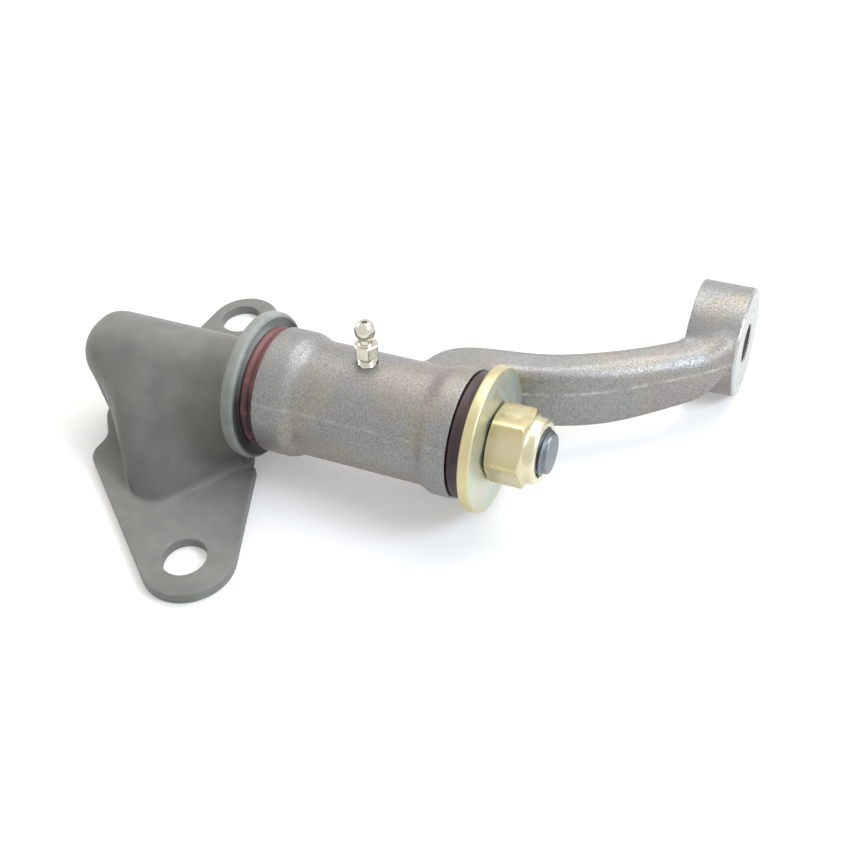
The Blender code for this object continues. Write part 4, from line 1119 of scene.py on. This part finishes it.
def machine(piece, metal, profile, place, upright, steps):
    """Cuts a turned shape out of the forging; the faces it leaves are bright metal."""
    turn = Matrix.Rotation(-math.pi / 2, 4, "Y") if upright else Matrix.Identity(4)
    there = Matrix.Translation(place) @ turn
    cutter = make_piece("cutter", lathe(profile, steps, closed=False), [metal], there)
    modifier = piece.modifiers.new("cut", "BOOLEAN")
    modifier.object = cutter
    modifier.operation = "DIFFERENCE"
    modifier.solver = "EXACT"
    modifier.material_mode = "TRANSFER"
    mesh = evaluated_mesh(piece)
    piece.modifiers.remove(modifier)
    piece.data = mesh
    bpy.data.objects.remove(cutter, do_unlink=True)


def close_cuts(mesh):
    """Joins the points that the cuts leave almost together, and fills what stays open."""
    bm = bmesh.new()
    bm.from_mesh(mesh)
    bmesh.ops.remove_doubles(bm, verts=bm.verts, dist=2e-6)
    bmesh.ops.dissolve_degenerate(bm, dist=1e-6, edges=bm.edges)
    bmesh.ops.holes_fill(bm, edges=[edge for edge in bm.edges if edge.is_boundary], sides=0)
    bm.to_mesh(mesh)
    bm.free()


def arm_forging(forged, machined):
    """The forging, then bored, faced at both ends of its barrel and both sides of its eye."""
    mesh = fused_forging()
    mesh.materials.clear()
    mesh.materials.append(forged)
    piece = bpy.data.objects.new("arm_forging", mesh)
    bpy.context.collection.objects.link(piece)
    for cutter in arm_cutters():
        machine(piece, machined, *cutter)
    mesh = piece.data
    mesh.name = "arm_forging"
    close_cuts(mesh)
    mesh.transform(MOVING)
    mesh.shade_smooth()
    mesh.set_sharp_from_angle(angle=math.radians(38))
    dress(piece, "arm", "idler_arm")


# Grease nipple

ON_NIPPLE = MOVING @ Matrix.Translation((NIPPLE_X, 0, 0)) @ Matrix.Rotation(-math.pi / 2, 4, "Y")


def nipple_head(start):
    """The ball-shaped head from the neck up to the flat round its mouth."""
    from_angle = -math.degrees(math.acos(NIPPLE_NECK_RADIUS / NIPPLE_HEAD_RADIUS))
    to_angle = math.degrees(math.acos((NIPPLE_MOUTH_RADIUS + NIPPLE_MOUTH_LIP) / NIPPLE_HEAD_RADIUS))
    low, high = (math.sin(math.radians(angle)) for angle in (from_angle, to_angle))
    rise = NIPPLE_HEAD_HEIGHT / (high - low)
    return [(start + rise * (height - low), radius * NIPPLE_HEAD_RADIUS)
            for radius, height in arc((0, 0), 1.0, from_angle, to_angle, 24)[1:]]


def grease_nipple(plating, helix):
    """Thread, hexagon and ball head, turned from one bar and bored through for the ball."""
    hexagon = NIPPLE_TOP - NIPPLE_HEAD_HEIGHT - NIPPLE_NECK_HEIGHT - NIPPLE_HEX_HEIGHT
    neck = hexagon + NIPPLE_HEX_HEIGHT
    head = neck + NIPPLE_NECK_HEIGHT
    shank_end = BARREL_BORE + BORE_CHAMFER
    core = NIPPLE_THREAD_RADIUS - NIPPLE_PITCH / 2
    corner = NIPPLE_ACROSS_FLATS / math.sqrt(3)
    inner = NIPPLE_ACROSS_FLATS / 2 * NIPPLE_FACE_SHARE
    profile = [(shank_end, NIPPLE_PASSAGE_RADIUS), (shank_end, core), (hexagon, core), (hexagon, inner)]
    profile += chamfer(hexagon, NIPPLE_CHAMFER_SLOPE, inner, np.linspace(inner, corner, 8)[1:])
    profile += chamfer(neck, -NIPPLE_CHAMFER_SLOPE, inner, np.linspace(corner, inner, 8))
    profile += [(neck, NIPPLE_NECK_RADIUS + NIPPLE_NECK_FILLET),
                (neck + NIPPLE_NECK_FILLET, NIPPLE_NECK_RADIUS), (head, NIPPLE_NECK_RADIUS)]
    profile += nipple_head(head)
    bore_start = BALL_SEAT - (NIPPLE_BORE_RADIUS - NIPPLE_MOUTH_RADIUS)
    profile += [(NIPPLE_TOP, NIPPLE_MOUTH_RADIUS + NIPPLE_MOUTH_BEVEL),
                (NIPPLE_TOP - NIPPLE_MOUTH_BEVEL, NIPPLE_MOUTH_RADIUS), (BALL_SEAT, NIPPLE_MOUTH_RADIUS),
                (bore_start, NIPPLE_BORE_RADIUS), (SPRING_SEAT, NIPPLE_BORE_RADIUS),
                (SPRING_SEAT, NIPPLE_PASSAGE_RADIUS)]
    bm = lathe(profile, 96)
    trim_to_hexagon(bm, hexagon, neck, NIPPLE_ACROSS_FLATS)
    length = hexagon - shank_end - NIPPLE_PITCH * 1.4
    bm.from_mesh(helix_mesh(helix, {
        "Radius": core, "Pitch": NIPPLE_PITCH, "Turns": length / NIPPLE_PITCH,
        "Wire Radius": NIPPLE_PITCH / 2, "Sides": 4, "Steps": 48, "Start": shank_end + NIPPLE_PITCH / 2,
        "Finish": plating}))
    piece = make_piece("grease_nipple", bm, [plating], ON_NIPPLE, 26)
    dress(piece, "arm", "nipple_body")


def check_ball(steel):
    """The ball that the spring holds against the mouth."""
    around = arc((BALL_CENTRE, 0), CHECK_BALL_RADIUS, 180, 0, 24)[1:-1]
    profile = [(BALL_CENTRE - CHECK_BALL_RADIUS, 0.0)] + around + [(BALL_CENTRE + CHECK_BALL_RADIUS, 0.0)]
    piece = make_piece("check_ball", lathe(profile, 48, closed=False), [steel], ON_NIPPLE)
    dress(piece, "check_ball", "nipple_ball")


def check_spring(steel, helix):
    """The fine coil spring under the check ball."""
    start = SPRING_SEAT + SEAT_GAP + SPRING_WIRE_RADIUS
    length = BALL_CENTRE - CHECK_BALL_RADIUS - SEAT_GAP - SPRING_WIRE_RADIUS - start
    bm = bmesh.new()
    bm.from_mesh(helix_mesh(helix, {
        "Radius": NIPPLE_BORE_RADIUS - SEAT_GAP - SPRING_WIRE_RADIUS, "Pitch": length / SPRING_TURNS,
        "Turns": float(SPRING_TURNS), "Wire Radius": SPRING_WIRE_RADIUS, "Sides": 10, "Steps": 32,
        "Start": start, "Finish": steel}))
    piece = make_piece("check_spring", bm, [steel], ON_NIPPLE, 60)
    dress(piece, "arm", "nipple_spring")


# Stage

def seen_directly(add):
    """1 for rays from the camera, off gloss or through glass, and 0 for the light on a surface."""
    path = add("ShaderNodeLightPath").outputs
    seen = path["Is Camera Ray"]
    for other in ("Is Glossy Ray", "Is Transmission Ray"):
        seen = add(MATH, (seen, path[other]), operation="MAXIMUM")
    return seen


def floor_finish():
    """White paper sweep: bright enough to read as white, while the object's shadow still shows."""
    material, add, _ = new_material("white_sweep", "e4e3e1", 0.9, 0.0)
    tree = material.node_tree
    paper = tree.nodes["Principled BSDF"]
    paper.inputs["Specular IOR Level"].default_value = 0.0
    glow = add("ShaderNodeEmission", {"Color": (1, 1, 1, 1), "Strength": 0.29})
    none = add("ShaderNodeEmission", {"Color": (0, 0, 0, 1), "Strength": 0.0})
    chosen = add("ShaderNodeMixShader", (seen_directly(add), none, glow))
    total = add("ShaderNodeAddShader", (paper, chosen))
    tree.links.new(total.outputs[0], tree.nodes["Material Output"].inputs["Surface"])
    return material


def floor_and_world():
    """A white sweep that keeps a soft shadow, under an even pale sky."""
    bm = bmesh.new()
    bmesh.ops.create_grid(bm, x_segments=1, y_segments=1, size=3.0)
    make_piece("studio_floor", bm, [floor_finish()], Matrix.Translation((0, 0, -FLOOR_DROP)))
    world = bpy.data.worlds.new("studio")
    bpy.context.scene.world = world
    world.use_nodes = True
    world.node_tree.nodes.clear()
    add = partial(add_node, world.node_tree)
    light = add("ShaderNodeBackground", {"Color": linear("f7f6f4"), "Strength": 0.57})
    backdrop = add("ShaderNodeBackground", {"Color": (1, 1, 1, 1), "Strength": 1.0})
    both = add("ShaderNodeMixShader", (seen_directly(add), light, backdrop))
    add("ShaderNodeOutputWorld", {"Surface": both})


def place_item(name, data, matrix):
    """Puts a lamp or the camera in the scene."""
    item = bpy.data.objects.new(name, data)
    item.matrix_world = matrix
    bpy.context.collection.objects.link(item)
    return item


def lamp(name, place, aim, size, watts, colour):
    """A round softbox that looks at the aim."""
    data = bpy.data.lights.new(name, "AREA")
    data.shape = "DISK"
    data.size = size
    data.energy = watts
    data.color = linear(colour)[:3]
    turn = (Vector(aim) - Vector(place)).to_track_quat("-Z", "Y")
    place_item(name, data, Matrix.Translation(place) @ turn.to_matrix().to_4x4())


def camera():
    """The photograph's camera, as fitted to the object's round faces and straight edges."""
    data = bpy.data.cameras.new("camera")
    data.lens = CAMERA_LENS
    data.sensor_width = 36.0
    turn = Matrix.Rotation(CAMERA_TURN, 4, "Z") @ Matrix.Rotation(CAMERA_TILT, 4, "X")
    matrix = Matrix.Translation(CAMERA_PLACE) @ turn @ Matrix.Rotation(CAMERA_ROLL, 4, "Z")
    bpy.context.scene.camera = place_item("camera", data, matrix)


def bracket_and_shaft(helix):
    """The stamping, and what sits on the shaft: ring, seals, washer and nut."""
    bracket_stamping(satin_paint("satin_grey_paint", "7c7b76", "85847f", "72726d"))
    # The ring wears the bracket's grey paint, made paler here as painted light for the highlight on its rim;
    # its relief gets painted shade
    thrust_ring(satin_paint("ring_paint_with_painted_light", "92958f", "a4a7a2", "84877f", COLLAR_RADIUS - 0.9 * MM))
    dust_seal("rear_seal_ring", REAR_SEAL_START, REAR_SEAL_END, "rear_dust_seal",
              seal_rubber("maroon_rubber", "302127", "442b30", "845450"))
    dust_seal("front_seal_ring", FRONT_SEAL_START, FRONT_SEAL_END, "front_dust_seal",
              seal_rubber("plum_rubber", "2b2127", "3a2a30", "4f3a3a"))
    washer_disc(yellow_zinc(
        "yellow_zinc_washer", [(0.30, "c1cbc0"), (0.48, "c8cec3"), (0.62, "cac9b7"), (0.75, "c3ccc3")],
        "cbc196", 20.5 * MM, WASHER_RADIUS, 0.42))
    nut_with_collar(yellow_zinc(
        "yellow_zinc_nut", [(0.30, "d6cfae"), (0.50, "dfd9c2"), (0.70, "d4cbb0")],
        "c6b98f", 9.0 * MM, 12.0 * MM, 0.28))
    # Undyed nylon: a milky ring inside the nut's collar
    nylon_insert(plain_finish("undyed_nylon", "c9c7bd", 0.5, 0.0, 0.8, 0.02))
    # Turned steel with a film of oil: a dark blue-grey stud
    shaft_with_stud(plain_finish("turned_stud_steel", "7d8287", 0.36, 1.0, 0.7, 0.02), helix)


def arm_and_fittings(helix):
    """The forging with its bushes, and its nipple with the ball and the spring in that."""
    eye_face = MOVING @ Vector((EYE_FRONT, ARM_LENGTH, 0))
    arm_forging(blasted_forging(), machined_steel("faced_steel", "b2b2b0", 3.14, eye_face))
    # Nickel plate: warm and almost mirror bright
    grease_nipple(plain_finish("nickel_plating", "d2cdc0", 0.20, 1.0, 1.2, 0.008), helix)
    # Polished bearing steel: small sharp highlights
    ball_steel = plain_finish("bearing_steel", "a9abad", 0.18, 1.0, 1.2, 0.004)
    check_ball(ball_steel)
    check_spring(ball_steel, helix)
    # Dark acetal: nearly black and dull
    acetal = plain_finish("dark_acetal", "3d3b38", 0.5, 0.0, 0.8, 0.02)
    for name in ("rear_bush", "front_bush"):
        frame["nodes"][name].data.materials.clear()
        frame["nodes"][name].data.materials.append(acetal)


def main():
    bpy.context.scene.view_settings.view_transform = "Standard"
    camera()
    floor_and_world()
    lamp("back_softbox", (0.15, 0.45, 0.75), (0.05, 0.0, 0.02), 0.8, 5.4, "fffdfa")
    lamp("right_window", (0.66, -0.01, 0.50), (0.07, 0.03, 0.02), 0.26, 3.8, "dcecff")
    lamp("left_fill", (-0.60, 0.12, 0.34), (-0.02, 0.0, 0.02), 0.40, 0.6, "fffdfa")
    helix = helix_tree()
    bracket_and_shaft(helix)
    arm_and_fittings(helix)


main()
